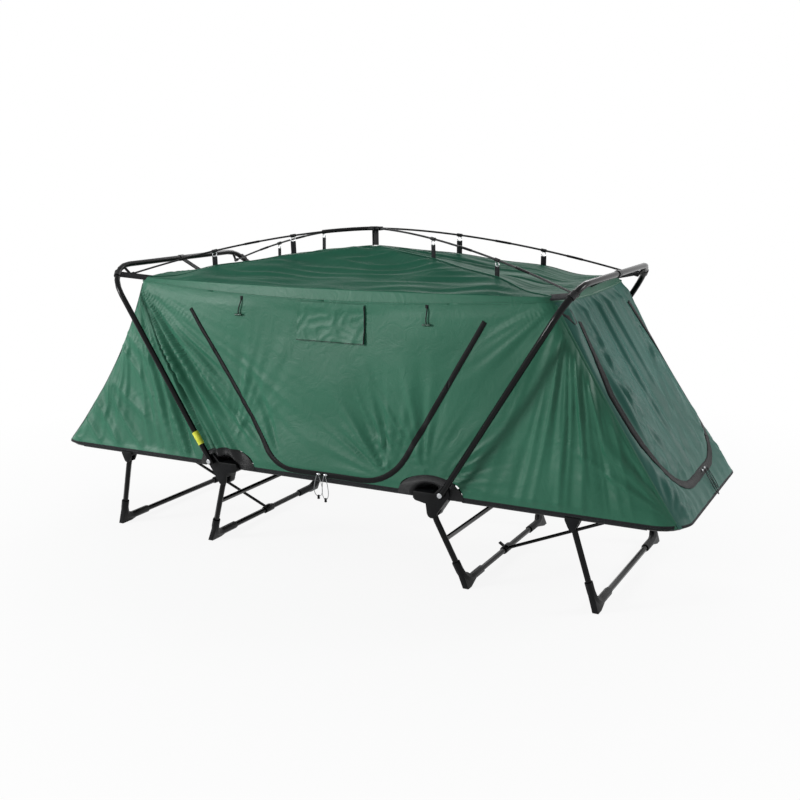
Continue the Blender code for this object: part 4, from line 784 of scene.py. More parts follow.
def cut_sheet(sheet, points, axes, name):
    """Cuts a closed convex outline out of a sheet, which keeps the rest. Returns what is cut out."""
    first, second = axes
    edges = list(zip(points, points[1:] + points[:1]))
    form = bmesh.new()
    form.from_mesh(sheet.data)
    for start, end in edges:
        run = Vector((end[0] - start[0], end[1] - start[1]))
        if run.length < 1e-6:
            continue
        along, across = run.normalized(), Vector((-run.y, run.x)).normalized()
        normal, place = Vector(), Vector()
        normal[first], normal[second] = across
        place[first], place[second] = start
        chosen = []
        for face in form.faces:
            middle = face.calc_center_median()
            spot = Vector((middle[first] - start[0], middle[second] - start[1]))
            if abs(spot.dot(across)) < BESIDE_CUT and -BESIDE_CUT < spot.dot(along) < run.length + BESIDE_CUT:
                chosen.append(face)
        lines = {e for f in chosen for e in f.edges}
        dots = {v for f in chosen for v in f.verts}
        geometry = chosen + list(lines) + list(dots)
        bmesh.ops.bisect_plane(form, geom=geometry, dist=1e-6, plane_co=place, plane_no=normal)
    form.faces.index_update()
    inside = set()
    for face in form.faces:
        middle = face.calc_center_median()
        if inside_of(edges, middle[first], middle[second]):
            inside.add(face.index)
    whole = bpy.data.meshes.new(name)
    form.to_mesh(whole)
    form.free()
    rest, cut_out = bmesh.new(), bmesh.new()
    for form, drop in ((rest, True), (cut_out, False)):
        form.from_mesh(whole)
        bmesh.ops.delete(form, geom=[f for f in form.faces if (f.index in inside) == drop], context="FACES")
    rest.to_mesh(sheet.data)
    cut_out.to_mesh(whole)
    rest.free()
    cut_out.free()
    return adopt(name, whole, sheet.data.materials[0])


def split(piece, low, high):
    """A copy of the part of a piece between two planes across the bed."""
    form = bmesh.new()
    form.from_mesh(piece.data)
    for x, way in ((low, -1), (high, 1)):
        geometry = form.verts[:] + form.edges[:] + form.faces[:]
        plane = {"plane_co": (x, 0, 0), "plane_no": (way, 0, 0)}
        cut = bmesh.ops.bisect_plane(form, geom=geometry, dist=1e-6, clear_outer=True, **plane)
        if "lay" not in piece.data.attributes:
            edges = [e for e in cut["geom_cut"] if isinstance(e, bmesh.types.BMEdge)]
            bmesh.ops.holes_fill(form, edges=edges, sides=0)
    data = bpy.data.meshes.new(piece.name)
    form.to_mesh(data)
    form.free()
    return data


# %% [markdown]
# ## Cloth on a frame that folds
# The bed folds in three, and the tent crumples between its layers. No cloth can
# follow a hinge like that as one stiff piece, so every piece of the tent is cut at
# the two hinges and at the middle of the bed. Each part rides on its own section as
# that section folds over. At rest nothing of this shows.

# %% Folding away
ALL = 9
SPANS = (
    ("a", -ALL, -HINGE_REACH, "head_section", "head_fold"),
    ("b", -HINGE_REACH, 0, "centre", "head_fold"),
    ("c", 0, HINGE_REACH, "centre", "foot_fold"),
    ("d", HINGE_REACH, ALL, "foot_section", "foot_fold"),
)
END_SPANS = {side: (("", -ALL, ALL, f"{name}_section", f"{name}_fold"),) for side, name in SIDES}


def settle(piece, body, joint=None, slot=None, nodes=()):
    """Puts a piece on its body. With a joint, it gets a mesh of its own."""
    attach(piece, body)
    if joint:
        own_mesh(piece)
    if nodes:
        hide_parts(*nodes)


def declare_sheet(part, area, along, held, on):
    places = [v.co["xy".index(along)] for v in part.data.vertices]
    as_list(on)


def fold_away(piece, nodes=(), spans=SPANS, slot=None, sheet=None, thickness=CLOTH):
    """Parts of a piece, each on its body. The piece itself goes."""
    parts = []
    for letter, low, high, body, joint in spans:
        data = split(piece, low, high)
        if not data.polygons:
            continue
        part = adopt(f"{piece.name}_{letter}" if len(spans) > 1 else f"{piece.name}_cloth", data)
        if not data.materials:
            for finish in piece.data.materials:
                data.materials.append(finish)
        area = sum(face.area for face in data.polygons)
        if sheet:
            thicken(part, thickness)
        settle(part, body, joint, slot, nodes)
        if sheet:
            declare_sheet(part, area, *sheet)
        parts.append(part)
    bpy.data.objects.remove(piece)
    return parts


# %% [markdown]
# ## Near wall, its door, and the far wall
# The near wall is mostly one large door that is closed by a zip. Wall and door are
# laid out as one sheet, with one set of folds, and the door is then cut out of it
# along the zip, as the maker's cutter does. Half-round openings over the two hinges
# leave room for the hinge blocks.

# %% Side walls
ARCH_MIDDLE, ARCH_HALF, ARCH_TOP, BELOW_HEM = 0.382, 0.106, 0.043, 0.25
near_wall = add_sheet("near_wall_sheet", 330, 88, lambda u, v: side_point(u, v, -1), nylon_green)
far_wall = add_sheet("far_wall_sheet", 330, 88, lambda u, v: side_point(-u, v, 1), nylon_green)
near_face, far_face = surface_of(near_wall.data), surface_of(far_wall.data)
near_door = cut_sheet(near_wall, DOOR_EDGE, (0, 2), "near_door_sheet")


def arch(side):
    """Half-round opening over a hinge, in X and Z."""
    middle = side * ARCH_MIDDLE

    def point(share):
        angle = math.pi * share
        return middle + ARCH_HALF * math.cos(angle), PIVOT_HEIGHT + ARCH_TOP * math.sin(angle)

    return trace(14, point) + [(middle - ARCH_HALF, BELOW_HEM), (middle + ARCH_HALF, BELOW_HEM)]


for wall in (near_wall, far_wall):
    for side, _ in SIDES:
        bpy.data.objects.remove(cut_sheet(wall, arch(side), (0, 2), "arch_waste"))
print("near wall", len(near_wall.data.polygons), "door", len(near_door.data.polygons))

# %% [markdown]
# ## The side walls on their sections
# The walls are stretched between the rails and the roof. The door hangs from its
# top seam, and swings on it, so it rides on a body of its own and is parted only
# at the middle of the bed.

# %% Side walls fold away
RAILS = ["head_frame", "foot_frame", "centre_rail_near", "centre_rail_far"]
DOOR_SPANS = (("a", -ALL, 0, "near_door", "head_fold"), ("c", 0, ALL, "near_door", "foot_fold"))
fold_away(near_wall, ["near_wall"], slot="canopy_green", sheet=("x", "stretched", RAILS))
fold_away(far_wall, ["far_wall"], slot="canopy_green", sheet=("x", "stretched", RAILS))
fold_away(near_door, ["near_door"], DOOR_SPANS, "canopy_green", ("x", "hung", ["near_wall"]))

# %% [markdown]
# ## End walls and the foot door
# The foot end is nearly all door: its zip runs down both sides and under the
# bottom in one wide curve. The end cloth there is a greyer green, made paler still
# by a painted reflection of the white backdrop.

# %% End walls
head_wall = add_sheet("head_wall_sheet", 120, 96, lambda u, v: end_point(-u, v, -1), nylon_green)
# The foot wall takes the grey-green nylon, with its painted reflection of the backdrop.
foot_wall = add_sheet("foot_wall_sheet", 120, 96, lambda u, v: end_point(u, v, 1), nylon_grey_green_painted_reflection)
head_face, foot_face = surface_of(head_wall.data), surface_of(foot_wall.data)
foot_door = cut_sheet(foot_wall, FOOT_EDGE, (1, 2), "foot_door_sheet")
FOOT_DOOR_SPAN = (("", -ALL, ALL, "foot_door", "foot_fold"),)
for piece, node, span, slot, rest in (
    (head_wall, "head_wall", END_SPANS[-1], "canopy_green", "head_frame"),
    (foot_wall, "foot_wall", END_SPANS[1], "canopy_grey_green", "foot_frame"),
    (foot_door, "foot_door", FOOT_DOOR_SPAN, "canopy_grey_green", "foot_wall"),
):
    print(node, len(piece.data.polygons))
    fold_away(piece, [node], span, slot, ("y", "stretched", [rest]))

# %% [markdown]
# ## Roof
# The roof hangs from two ridge tapes that cross over the middle of the tent, so it
# has four facets which sag a little between the ridges. It is one sheet: a square
# grid whose diagonals become the ridges. Round its edge it turns down a short
# valance to the seam.

# %% Roof
CORNER_RISE = TOP_CORNER * (1 - math.sqrt(0.5))
RIDGE_SLOPE = (TOP_HALF - CORNER_RISE) / (TOP_REACH - CORNER_RISE)
ROOF_CELLS = 12 * VALANCE_CELLS
# From, to, and depth of each dip in the ridge, along the bed
RIDGE_DIPS = ((0.0, 0.265, 0.003), (0.265, 0.525, 0.004), (0.525, 0.752, 0.012))


def roof_rim(turn_x, turn_y):
    if abs(turn_y) >= abs(turn_x):
        x, y = side_plan(turn_x / abs(turn_y), 1.0)
        return Vector((x, math.copysign(y, turn_y)))
    return Vector(end_plan(turn_y / abs(turn_x), 1.0, math.copysign(1, turn_x)))


def ridge_dip(reach):
    """The ridge hangs a little between the places that hold it up."""
    for low, high, depth in RIDGE_DIPS:
        if low < reach < high:
            return depth * math.sin(math.pi * (reach - low) / (high - low)) ** 2
    return 0.0


def roof_folds(x, y):
    """Long soft wrinkles from end to end, and a slower unevenness."""
    wave = noise.noise(Vector((x * 3.2, y * 26 - x * 2.5, 61)))
    return (1 - min(1, abs(wave) * 2.4)) * 0.006 + noise.noise(Vector((x * 5, y * 9, 63))) * 0.005


def roof_point(u, v, folds=True):
    level = max(abs(u), abs(v))
    if level < 1e-6:
        return Vector((0, 0, ROOF_PEAK))
    rim = roof_rim(u / level, v / level)
    inset = [math.copysign(VALANCE_INSET, a) * min(1, abs(a) / TOP_CORNER) for a in rim]
    inner = Vector((rim.x - inset[0], rim.y - inset[1]))
    rim_height = FOLD_HEIGHT - FOLD_SAG * (1 - min(1.0, (inner.x / TOP_REACH) ** 2))
    if level > VALANCE_SHARE:
        down = (level - VALANCE_SHARE) / (1 - VALANCE_SHARE)
        return Vector((*inner.lerp(rim, down), lerp(rim_height, seam_height(*rim) + 0.0005, down)))
    share = level / VALANCE_SHARE
    place = inner * share
    place.y *= lerp(POLE_SLOPE / RIDGE_SLOPE, 1.0, share**6)
    ridge = ROOF_PEAK - (ROOF_PEAK - rim_height) * share**RIDGE_CURVE
    flat = ROOF_PEAK - (ROOF_PEAK - rim_height) * share
    off_ridge = min(1.0, 1 - min(abs(u), abs(v)) / level)
    sag = ROOF_SAG * math.sin(math.pi * share) * min(1.0, off_ridge * 2)
    height = lerp(ridge, flat, off_ridge) - sag - ridge_dip(abs(place.x))
    if folds:
        calm = min(1.0, off_ridge * 5) * min(1.0, (1 - share) / 0.05) * min(1.0, share / 0.1)
        height += roof_folds(*place) * calm
    return Vector((*place, height))


lay = (lambda u, v: roof_point(u, v * 2 - 1))
roof = add_sheet("roof_sheet", ROOF_CELLS, ROOF_CELLS, lay, roof_nylon_painted_shade)
roof.data.materials.append(nylon_green)
# The roof's top faces take the darker copy with painted shade, and the valance takes the wall's nylon.
for face in roof.data.polygons:
    row, column = divmod(face.index, ROOF_CELLS)
    edge = min(row, column, ROOF_CELLS - 1 - row, ROOF_CELLS - 1 - column)
    face.material_index = int(edge < ROOF_CELLS / VALANCE_CELLS)
print("roof", len(roof.data.polygons))
fold_away(roof, ["roof"], slot="canopy_green", sheet=("x", "hung", ["ridge_hub"]))

# %% [markdown]
# ## Tapes that lie on the cloth
# Zips, seam tapes, webbing and bindings all lie on the cloth and follow its folds.
# One helper makes them. It walks along a line, casts each point of the tape's
# cross section onto the cloth below, and lifts it by the tape's own thickness.
# Its measure along and across is kept as the piece's map, for the weave.

# %% Helper for tapes
def hug(face, point, out, reach=0.6):
    """The place on the cloth behind a point."""
    found = face.ray_cast(point + out * reach, -out, reach * 2)
    return found[0] or face.find_nearest(point)[0]


def from_faces(name, form, finish, angle):
    """A smoothly shaded piece from the faces that were built up."""
    bmesh.ops.recalc_face_normals(form, faces=form.faces)
    data = bpy.data.meshes.new(name)
    form.to_mesh(data)
    form.free()
    piece = adopt(name, data, finish)
    smooth(piece, angle)
    return piece


def ribbon(name, points, out, width, height, finish, face=None, closed=False, sink=0.0006):
    """A flat tape along points, with softly rounded edges. Its width may be a rule over its length."""
    half = [(-0.5, -sink), (-0.5, height * 0.6), (-0.4, height)]
    shape = half + [(-across, high) for across, high in half[::-1]]
    width_at = width if callable(width) else lambda share: width
    form = bmesh.new()
    measure = form.loops.layers.uv.new("UVMap")
    rings, runs, run = [], [], 0.0
    count = len(points)
    for k, point in enumerate(points):
        before = points[k - 1] if k or closed else point
        after = points[(k + 1) % count] if k < count - 1 or closed else point
        lift = out(point) if callable(out) else out
        side = (after - before).normalized().cross(lift).normalized()
        wide = width_at(k / (count - 1))
        spots = [point + side * across * wide for across, _ in shape]
        if face:
            spots = [hug(face, spot, lift) for spot in spots]
        rings.append([form.verts.new(spot + lift * high) for spot, (_, high) in zip(spots, shape)])
        run += (point - points[k - 1]).length if k else 0
        runs.append(run)
    if closed:
        rings.append(rings[0])
        runs.append(run + (points[0] - points[-1]).length)
    wide = [across * width_at(0.5) for across, _ in shape]
    for k in range(len(rings) - 1):
        for j in range(len(shape)):
            i = (j + 1) % len(shape)
            quad = form.faces.new((rings[k][j], rings[k][i], rings[k + 1][i], rings[k + 1][j]))
            quad.smooth = True
            places = ((runs[k], wide[j]), (runs[k], wide[i]), (runs[k + 1], wide[i]), (runs[k + 1], wide[j]))
            for loop, place in zip(quad.loops, places):
                loop[measure].uv = place
    if not closed:
        form.faces.new(rings[0][::-1])
        form.faces.new(rings[-1])
    return from_faces(name, form, finish, 50)


def spread(points, step):
    """Points a step apart along a line of points."""
    made = []
    for a, b in zip(points, points[1:]):
        count = max(1, round((b - a).length / step))
        made += [a.lerp(b, k / count) for k in range(count)]
    return made + [points[-1]]


def join(name, pieces):
    """One piece from several."""
    bpy.ops.object.select_all(action="DESELECT")
    for piece in pieces:
        piece.select_set(True)
    bpy.context.view_layer.objects.active = pieces[0]
    bpy.ops.object.join()
    pieces[0].name = name
    pieces[0].data.name = name
    return pieces[0]


# %% [markdown]
# ## Zips
# The near door's zip starts just under the seam, runs down to the hem, along it and
# up again. The foot door's zip has a wide black flap over it. Both are tapes laid on
# the line where the door was cut out, and ride on the wall beside it.

# %% Zips
def zip_line(places, trim_start, trim_end):
    """A zip's route round its door, which starts and ends short of the outline's ends."""
    start, end = places[0].lerp(places[1], trim_start), places[-1].lerp(places[-2], trim_end)
    return spread([start, *places[1:-1], end], 0.005)


def near_width(share):
    return 0.0120 + 0.0035 * share + 0.0035 * math.sin(math.pi * share)


def foot_width(share):
    return 0.0180 + 0.0030 * math.sin(math.pi * share)


near_line = zip_line([on_near(x, z) for x, z in DOOR_EDGE], 0.17, 0.15)
fold_away(ribbon("near_zip", near_line, NEAR, near_width, 0.0026, zip_tape, near_face), slot="webbing")
foot_line = zip_line([on_end(y, z) for y, z in FOOT_EDGE], 0.17, 0.17)
foot_zip = ribbon("foot_zip", foot_line, FOOTWARD, foot_width, 0.0036, zip_tape, foot_face)
fold_away(foot_zip, spans=END_SPANS[1], slot="webbing")
print("zips", len(near_line), len(foot_line))

# %% [markdown]
# ## Seams and hem
# A felled seam closes each corner of the tent, a cord-thick roll runs round the
# roof's edge, and a black binding finishes the hem between the hinge openings.

# %% Seams and hem
SEAM_LOW, SEAM_HIGH = 0.02, 0.985
HEM_END, HEM_END_HALF, CLEAR = 1.118, 0.325, 0.001
for side, flank, place in CORNERS:
    def seam_point(share):
        level = lerp(SEAM_LOW, SEAM_HIGH, share)
        x, y = side_plan(side, level)
        return Vector((x, flank * y, lerp(RAIL_HEIGHT, seam_height(x, flank * y, level), level)))

    # The head and far corner seams take the dark nylon, which is painted shade along the corner's crease. The
    # near foot seam keeps the wall's green.
    finish = painted_shade_green if side < 0 or flank > 0 else nylon_green
    out = Vector((side, flank, 0)).normalized()
    strip = ribbon(f"corner_seam_{place}", trace(59, seam_point), out, 0.009, 0.0016, finish)
    fold_away(strip, spans=END_SPANS[side], slot="canopy_green")

inner_end, outer_start = ARCH_MIDDLE - ARCH_HALF - CLEAR, ARCH_MIDDLE + ARCH_HALF + CLEAR
STRETCHES = ((-HEM_END, -outer_start), (-inner_end, inner_end), (outer_start, HEM_END))
for flank, flank_name, face in ((-1, "near", near_face), (1, "far", far_face)):
    strips = []
    for low, high in STRETCHES:
        line = trace(60, lambda share: on_near(lerp(low, high, share), RAIL_HEIGHT + 0.0045, flank))
        strips.append(ribbon("hem", line, Vector((0, flank, 0)), 0.0085, 0.0008, webbing, face))
    fold_away(join(f"hem_binding_{flank_name}", strips), slot="webbing")
for side, side_name, face in ((-1, "head", head_face), (1, "foot", foot_face)):
    height = RAIL_HEIGHT + 0.0035
    line = trace(60, lambda share: on_end(lerp(-HEM_END_HALF, HEM_END_HALF, share), height, side))
    strip = ribbon(f"hem_binding_{side_name}", line, Vector((side, 0, 0)), 0.0065, 0.0008, webbing, face)
    fold_away(strip, spans=END_SPANS[side], slot="webbing")


def rim_point(share):
    turn = Vector((math.cos(2 * math.pi * share), math.sin(2 * math.pi * share)))
    turn /= max(abs(turn.x), abs(turn.y))
    return roof_point(turn.x, turn.y, False) + UPWARD * 0.001


def rim_out(p):
    return Vector((p.x / 5, p.y, 0)).normalized()


seam_roll = ribbon("roof_seam", trace(160, rim_point)[:-1], rim_out, 0.005, 0.0022, nylon_green, closed=True)
fold_away(seam_roll, slot="canopy_green")
print("seams and hem laid")

# %% [markdown]
# ## Window flap
# The window flap is a small sheet that hangs over the door's window, a little proud
# of it, with a dark binding on its free side and a thin strip of painted shadow under
# its foot. It is crumpled from being rolled up.

# %% Window flap
FLAP_LEFT, FLAP_RIGHT, FLAP_FOOT, FLAP_TOP = -0.104, 0.146, 0.735, 0.858
BINDING_INSET = 0.002


def flap_point(u, v):
    x, z = lerp(FLAP_LEFT, FLAP_RIGHT, (u + 1) / 2), lerp(FLAP_FOOT, FLAP_TOP, v)
    lift = 0.0030 + 0.0035 * (1 - v) ** 2 + 0.0016 * noise.noise(Vector((x * 18, z * 10, 3)))
    lift += 0.0022 * crest((x * 24 + z * 13, z * 33 - x * 9, 5)) * min(1.0, (1 - v) * 6)
    return hug(near_face, on_near(x, z), NEAR) + NEAR * lift


flap = add_sheet("window_flap_sheet", 44, 22, flap_point, nylon_green)
flap_face = surface_of(flap.data)
fold_away(flap, ["window_flap"], DOOR_SPANS, "canopy_green", ("x", "hung", ["near_door"]), 0.0010)
corner = on_near(FLAP_RIGHT - BINDING_INSET, FLAP_FOOT + BINDING_INSET)
top, foot = on_near(corner.x, FLAP_TOP - 0.003), on_near(FLAP_LEFT, FLAP_FOOT + BINDING_INSET)
right_edge = ribbon("flap_edge", spread([top, corner], 0.006), NEAR, 0.0035, 0.0010, webbing, flap_face)
# A thin dark strip along the flap's foot, which is painted shadow where the flap stands off the door.
foot_shadow_strip = ribbon("flap_foot_painted_shadow", spread([corner, foot], 0.006), NEAR, 0.0024, 0.0008, painted_shade_green, flap_face)
fold_away(join("flap_binding_and_shadow", [right_edge, foot_shadow_strip]), spans=DOOR_SPANS, slot="webbing")
print("flap", round(FLAP_RIGHT - FLAP_LEFT, 3), "by", round(FLAP_TOP - FLAP_FOOT, 3))

# %% [markdown]
# ## Ridge poles
# Four glass-fibre rods meet over the middle of the roof. Each is straight where it
# leaves the hoop and bends under the pull of the straps. They are drawn as one
# piece, with the collars that join their sections. A rod is a curve with a round
# bevel, turned into a mesh.

# %% Ridge poles
FERRULES, FERRULE_STEP, HUB_CLEAR = (0.40, 0.62), 0.012, 0.0098


def pipe(name, points, radius, finish, closed=False, sides=20):
    """A round rod or cord along points."""
    data = bpy.data.curves.new(name, "CURVE")
    data.dimensions = "3D"
    data.bevel_depth = radius
    data.bevel_resolution = max(1, sides // 4 - 1)
    data.render_resolution_u = 0
    data.use_fill_caps = True
    line = data.splines.new("POLY")
    line.points.add(len(points) - 1)
    for spot, point in zip(line.points, points):
        spot.co = (*point, 1)
    line.use_cyclic_u = closed
    adopt(name, data)
    bpy.ops.object.convert(target="MESH")
    piece = bpy.context.object
    piece.data.materials.clear()
    piece.data.materials.append(finish)
    smooth(piece, 40)
    return piece


def pole_point(reach, flank):
    share = abs(reach) / POLE_FALL_REACH
    return Vector((reach, flank * abs(reach) * POLE_SLOPE, POLE_PEAK - POLE_FALL * share**POLE_CURVE))


poles = []
for side, flank, place in CORNERS:
    line = trace(40, lambda share: pole_point(side * lerp(HUB_CLEAR, POLE_END, share), flank))
    poles.append(pipe(f"pole_{place}", line, POLE_RADIUS, rod_black, sides=16))
    for reach in FERRULES:
        line = [pole_point(side * (reach + FERRULE_STEP * k), flank) for k in range(-2, 3)]
        poles.append(pipe(f"pole_ferrule_{place}_{reach}", line, POLE_RADIUS + 0.0008, tube_black, sides=16))
fold_away(join("ridge_poles", poles), [f"ridge_pole_{place}" for *_, place in CORNERS], slot="pole")
print("pole pieces", len(poles))

# %% [markdown]
# ## Ridge tapes and straps
# Webbing is sewn along each ridge of the roof. From it, short straps go up to the
# poles, each ending in a loop round the pole with a small steel ring.

# %% Ridge tapes and straps
STRAP_REACHES, STRAP_WIDTH = (0.265, 0.525), 0.018
RING_DROP, RING_RADIUS, RING_WIRE = 0.0125, 0.0075, 0.0013


def ridge_spot(reach, side, flank):
    """Place on the roof's ridge at a distance along the bed, found by halving."""
    low, high = 0.0, VALANCE_SHARE
    for _ in range(24):
        middle = (low + high) / 2
        low, high = (middle, high) if abs(roof_point(middle, middle, False).x) < reach else (low, middle)
    return roof_point(side * low, flank * low, False) + UPWARD * 0.0012


def strap(place, side, flank, reach):
    """A steel ring under the pole, the strap up to it, and the loop round the pole."""
    pole, foot = pole_point(side * reach, flank), ridge_spot(reach, side, flank)
    way = (pole_point(side * (reach + 0.01), flank) - pole).normalized()
    middle = pole - UPWARD * RING_DROP
    angles = [2 * math.pi * k / 20 for k in range(20)]
    ring = [middle + (way * math.cos(a) + UPWARD * math.sin(a)) * RING_RADIUS for a in angles]
    out = way.cross(pole - foot).normalized()
    line = spread([foot, middle - UPWARD * 0.006], 0.004)
    loop = trace(4, lambda share: pole + way * (STRAP_WIDTH * (share - 0.5)))
    return [
        pipe(f"strap_ring_{place}", ring, RING_WIRE, zinc, closed=True, sides=8),
        ribbon(f"strap_{place}", line, out, STRAP_WIDTH, 0.0008, webbing, sink=0.0008),
        pipe(f"strap_loop_{place}", loop, POLE_RADIUS + 0.0022, patch_cloth, sides=16),
    ]


webbings = []
for side, flank, place in CORNERS:
    line = trace(60, lambda share: ridge_spot(lerp(0.012, 0.735, share), side, flank))
    # The ridge tapes take the roof's darker copy of the nylon, with its painted shade.
    webbings.append(ribbon(f"ridge_seam_{place}", line, UPWARD, 0.008, 0.0012, roof_nylon_painted_shade))
    for reach in STRAP_REACHES:
        webbings += strap(f"{place}_{reach}", side, flank, reach)
fold_away(join("ridge_webbing", webbings), [f"ridge_tape_{place}" for *_, place in CORNERS], slot="webbing")
print("ridge pieces", len(webbings))

# %% [markdown]
# ## Rigid parts
# Blocks, brackets, clips, caps, pins and tubes keep the shapes of the frame's own
# solids. Each is copied, its loose triangles are merged, its sharp edges get the
# small radius that a mould or a deburring tool leaves, and it is shaded smooth.

# %% Rigid parts
def refine(node, finish, edge, slot):
    source = frame["nodes"][node]
    piece = adopt(f"{node}_part", source.data.copy(), finish)
    bpy.ops.object.mode_set(mode="EDIT")
    bpy.ops.mesh.select_all(action="SELECT")
    bpy.ops.mesh.remove_doubles(threshold=0.00001)
    bpy.ops.mesh.tris_convert_to_quads()
    bpy.ops.object.mode_set(mode="OBJECT")
    if edge:
        soft = piece.modifiers.new("edges", "BEVEL")
        soft.width = edge
        soft.segments = 2
        soft.limit_method = "ANGLE"
        soft.angle_limit = math.radians(40)
        soft.use_clamp_overlap = True
        bpy.ops.object.modifier_apply(modifier=soft.name)
    smooth(piece, 38)
    settle(piece, source["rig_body"], slot=slot, nodes=[node])


# How the names start, finish, rounded edge, slot
KINDS = (
    ("hinge_block", nylon_black, 1.2 * MM, "black_plastic"),
    ("leg_bracket foot_cap", nylon_black, 0.8 * MM, "black_plastic"),
    ("stay_clip", nylon_black, 0.6 * MM, "black_plastic"),
    ("hinge_pin", zinc, 0.5 * MM, "pin_steel"),
    ("leg_head leg_foot stay_head stay_foot hoop", tube_black, 0.0, "black_tube"),
    ("head_frame foot_frame centre_rail", tube_black, 0.0, "black_tube"),
)
for starts, finish, edge, slot in KINDS:
    for start in starts.split():
        chosen = [name for name in sorted(frame["nodes"]) if name.startswith(start)]
        for name in chosen:
            refine(name, finish, edge, slot)
        print(start, len(chosen))

# %% [markdown]
# ## Hub
# The hub is moulded too, but it hangs in the roof and folds away with the cloth. It
# crosses the middle of the bed, so it is parted there like the cloth, and its cut
# faces are closed.

# %% Hub
hub_part = adopt("ridge_hub_part", frame["nodes"]["ridge_hub"].data.copy(), nylon_black)
form = bmesh.new()
form.from_mesh(hub_part.data)
bmesh.ops.remove_doubles(form, verts=form.verts, dist=0.00001)
form.to_mesh(hub_part.data)
form.free()
for part in fold_away(hub_part, ["ridge_hub"], slot="black_plastic"):
    smooth(part, 38)
    print(part.name, len(part.data.polygons))

# %% [markdown]
# ## Ties
# At each corner of the roof, and at the middle of its ends, a webbing tie holds the
# cloth to the hoop: a loop round the tube, and a strap to the cloth.

# %% Ties
LEAN = math.atan2(HOOP_REACH - HINGE_REACH, HOOP_HEIGHT - PIVOT_HEIGHT)
HOOP_RISE = math.hypot(HOOP_REACH - HINGE_REACH, HOOP_HEIGHT - PIVOT_HEIGHT)
TIE_LOOP, TIE_WIDTH, TIE_THICK, TIE_OVERLAP, TIE_DROP = 0.022, 0.024, 0.0022, 0.016, 0.002


def tie(name, body, centre, way, end):
    """A loop round the hoop at a place, and a strap from it that ends on the cloth."""
    end = end + DOWN * TIE_DROP + (end - centre).normalized() * TIE_OVERLAP
    loop = trace(4, lambda share: centre + way * TIE_LOOP * (share - 0.5))
    out = way.cross(end - centre).normalized()
    line = spread([centre, end], 0.006)
    pieces = [
        pipe(f"{name}_loop", loop, HOOP_RADIUS + 0.0022, patch_cloth, sides=24),
        ribbon(f"{name}_strap", line, out, TIE_WIDTH, TIE_THICK, webbing, sink=TIE_THICK),
    ]
    settle(join(f"{name}_webbing", pieces), body, slot="webbing", nodes=[name])


for side, side_name in SIDES:
    hoop_up = Vector((side * math.sin(LEAN), 0, math.cos(LEAN)))
    foot = Vector((side * HINGE_REACH, 0, PIVOT_HEIGHT))
    end = roof_point(side * VALANCE_SHARE, 0, False)
    tie(f"tie_{side_name}_middle", f"{side_name}_hoop", foot + hoop_up * HOOP_RISE, FAR, end)
    for flank, flank_name in FLANKS:
        across = Vector((0, flank, 0))
        centre = foot + hoop_up * (HOOP_RISE - HOOP_CORNER) + across * (HOOP_OFFSET - HOOP_CORNER)
        centre += (hoop_up + across).normalized() * HOOP_CORNER
        end = roof_point(side * VALANCE_SHARE, flank * VALANCE_SHARE, False)
        way = (hoop_up - across).normalized()
        tie(f"tie_{side_name}_{flank_name}", f"{side_name}_hoop", centre, way, end)
print("hoop leans", round(math.degrees(LEAN), 1), "degrees")

# %% [markdown]
# ## Small turned and moulded parts
# Toggles, cord locks and zip sliders are small, but they show how the tent is used.
# Each is a profile of radii along a line, turned round it as on a lathe.

# %% Helpers for turned parts and cords
def turned(name, start, way, profile, finish, sides=20):
    """A closed solid from (distance along, radius) pairs."""
    way = way.normalized()
    aside = way.orthogonal().normalized()
    other = way.cross(aside)
    turns = [2 * math.pi * k / sides for k in range(sides)]
    form = bmesh.new()
    rings = []
    for distance, radius in profile:
        spots = [start + way * distance + (aside * math.cos(a) + other * math.sin(a)) * radius for a in turns]
        rings.append([form.verts.new(spot) for spot in spots])
    for low, high in zip(rings, rings[1:]):
        for k in range(sides):
            form.faces.new((low[k], low[(k + 1) % sides], high[(k + 1) % sides], high[k]))
    form.faces.new(rings[0][::-1])
    form.faces.new(rings[-1])
    return from_faces(name, form, finish, 35)


def barrel(length, radius, rim=1.2 * MM):
    """Profile of a bar with rounded ends and a shallow waist."""
    half = [(0, radius - rim), (rim * 0.4, radius - rim * 0.3), (rim, radius), (length * 0.4, radius)]
    half.append((length * 0.46, radius * 0.82))
    return half + [(length - along, wide) for along, wide in half[::-1]]


def declare_cord(cord, line):
    length = sum((b - a).length for a, b in zip(line, line[1:]))
    tuple(line[0])
    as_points(line)
    print(cord.name, round(length, 4), "m")


# %% [markdown]
# ## Door toggles
# When the near door is rolled up, two elastic loops with a bar toggle hold the roll.
# Closed, they hang down the door from the seam. A loop is a short cord, so its real
# length is printed, and it lies on the cloth.

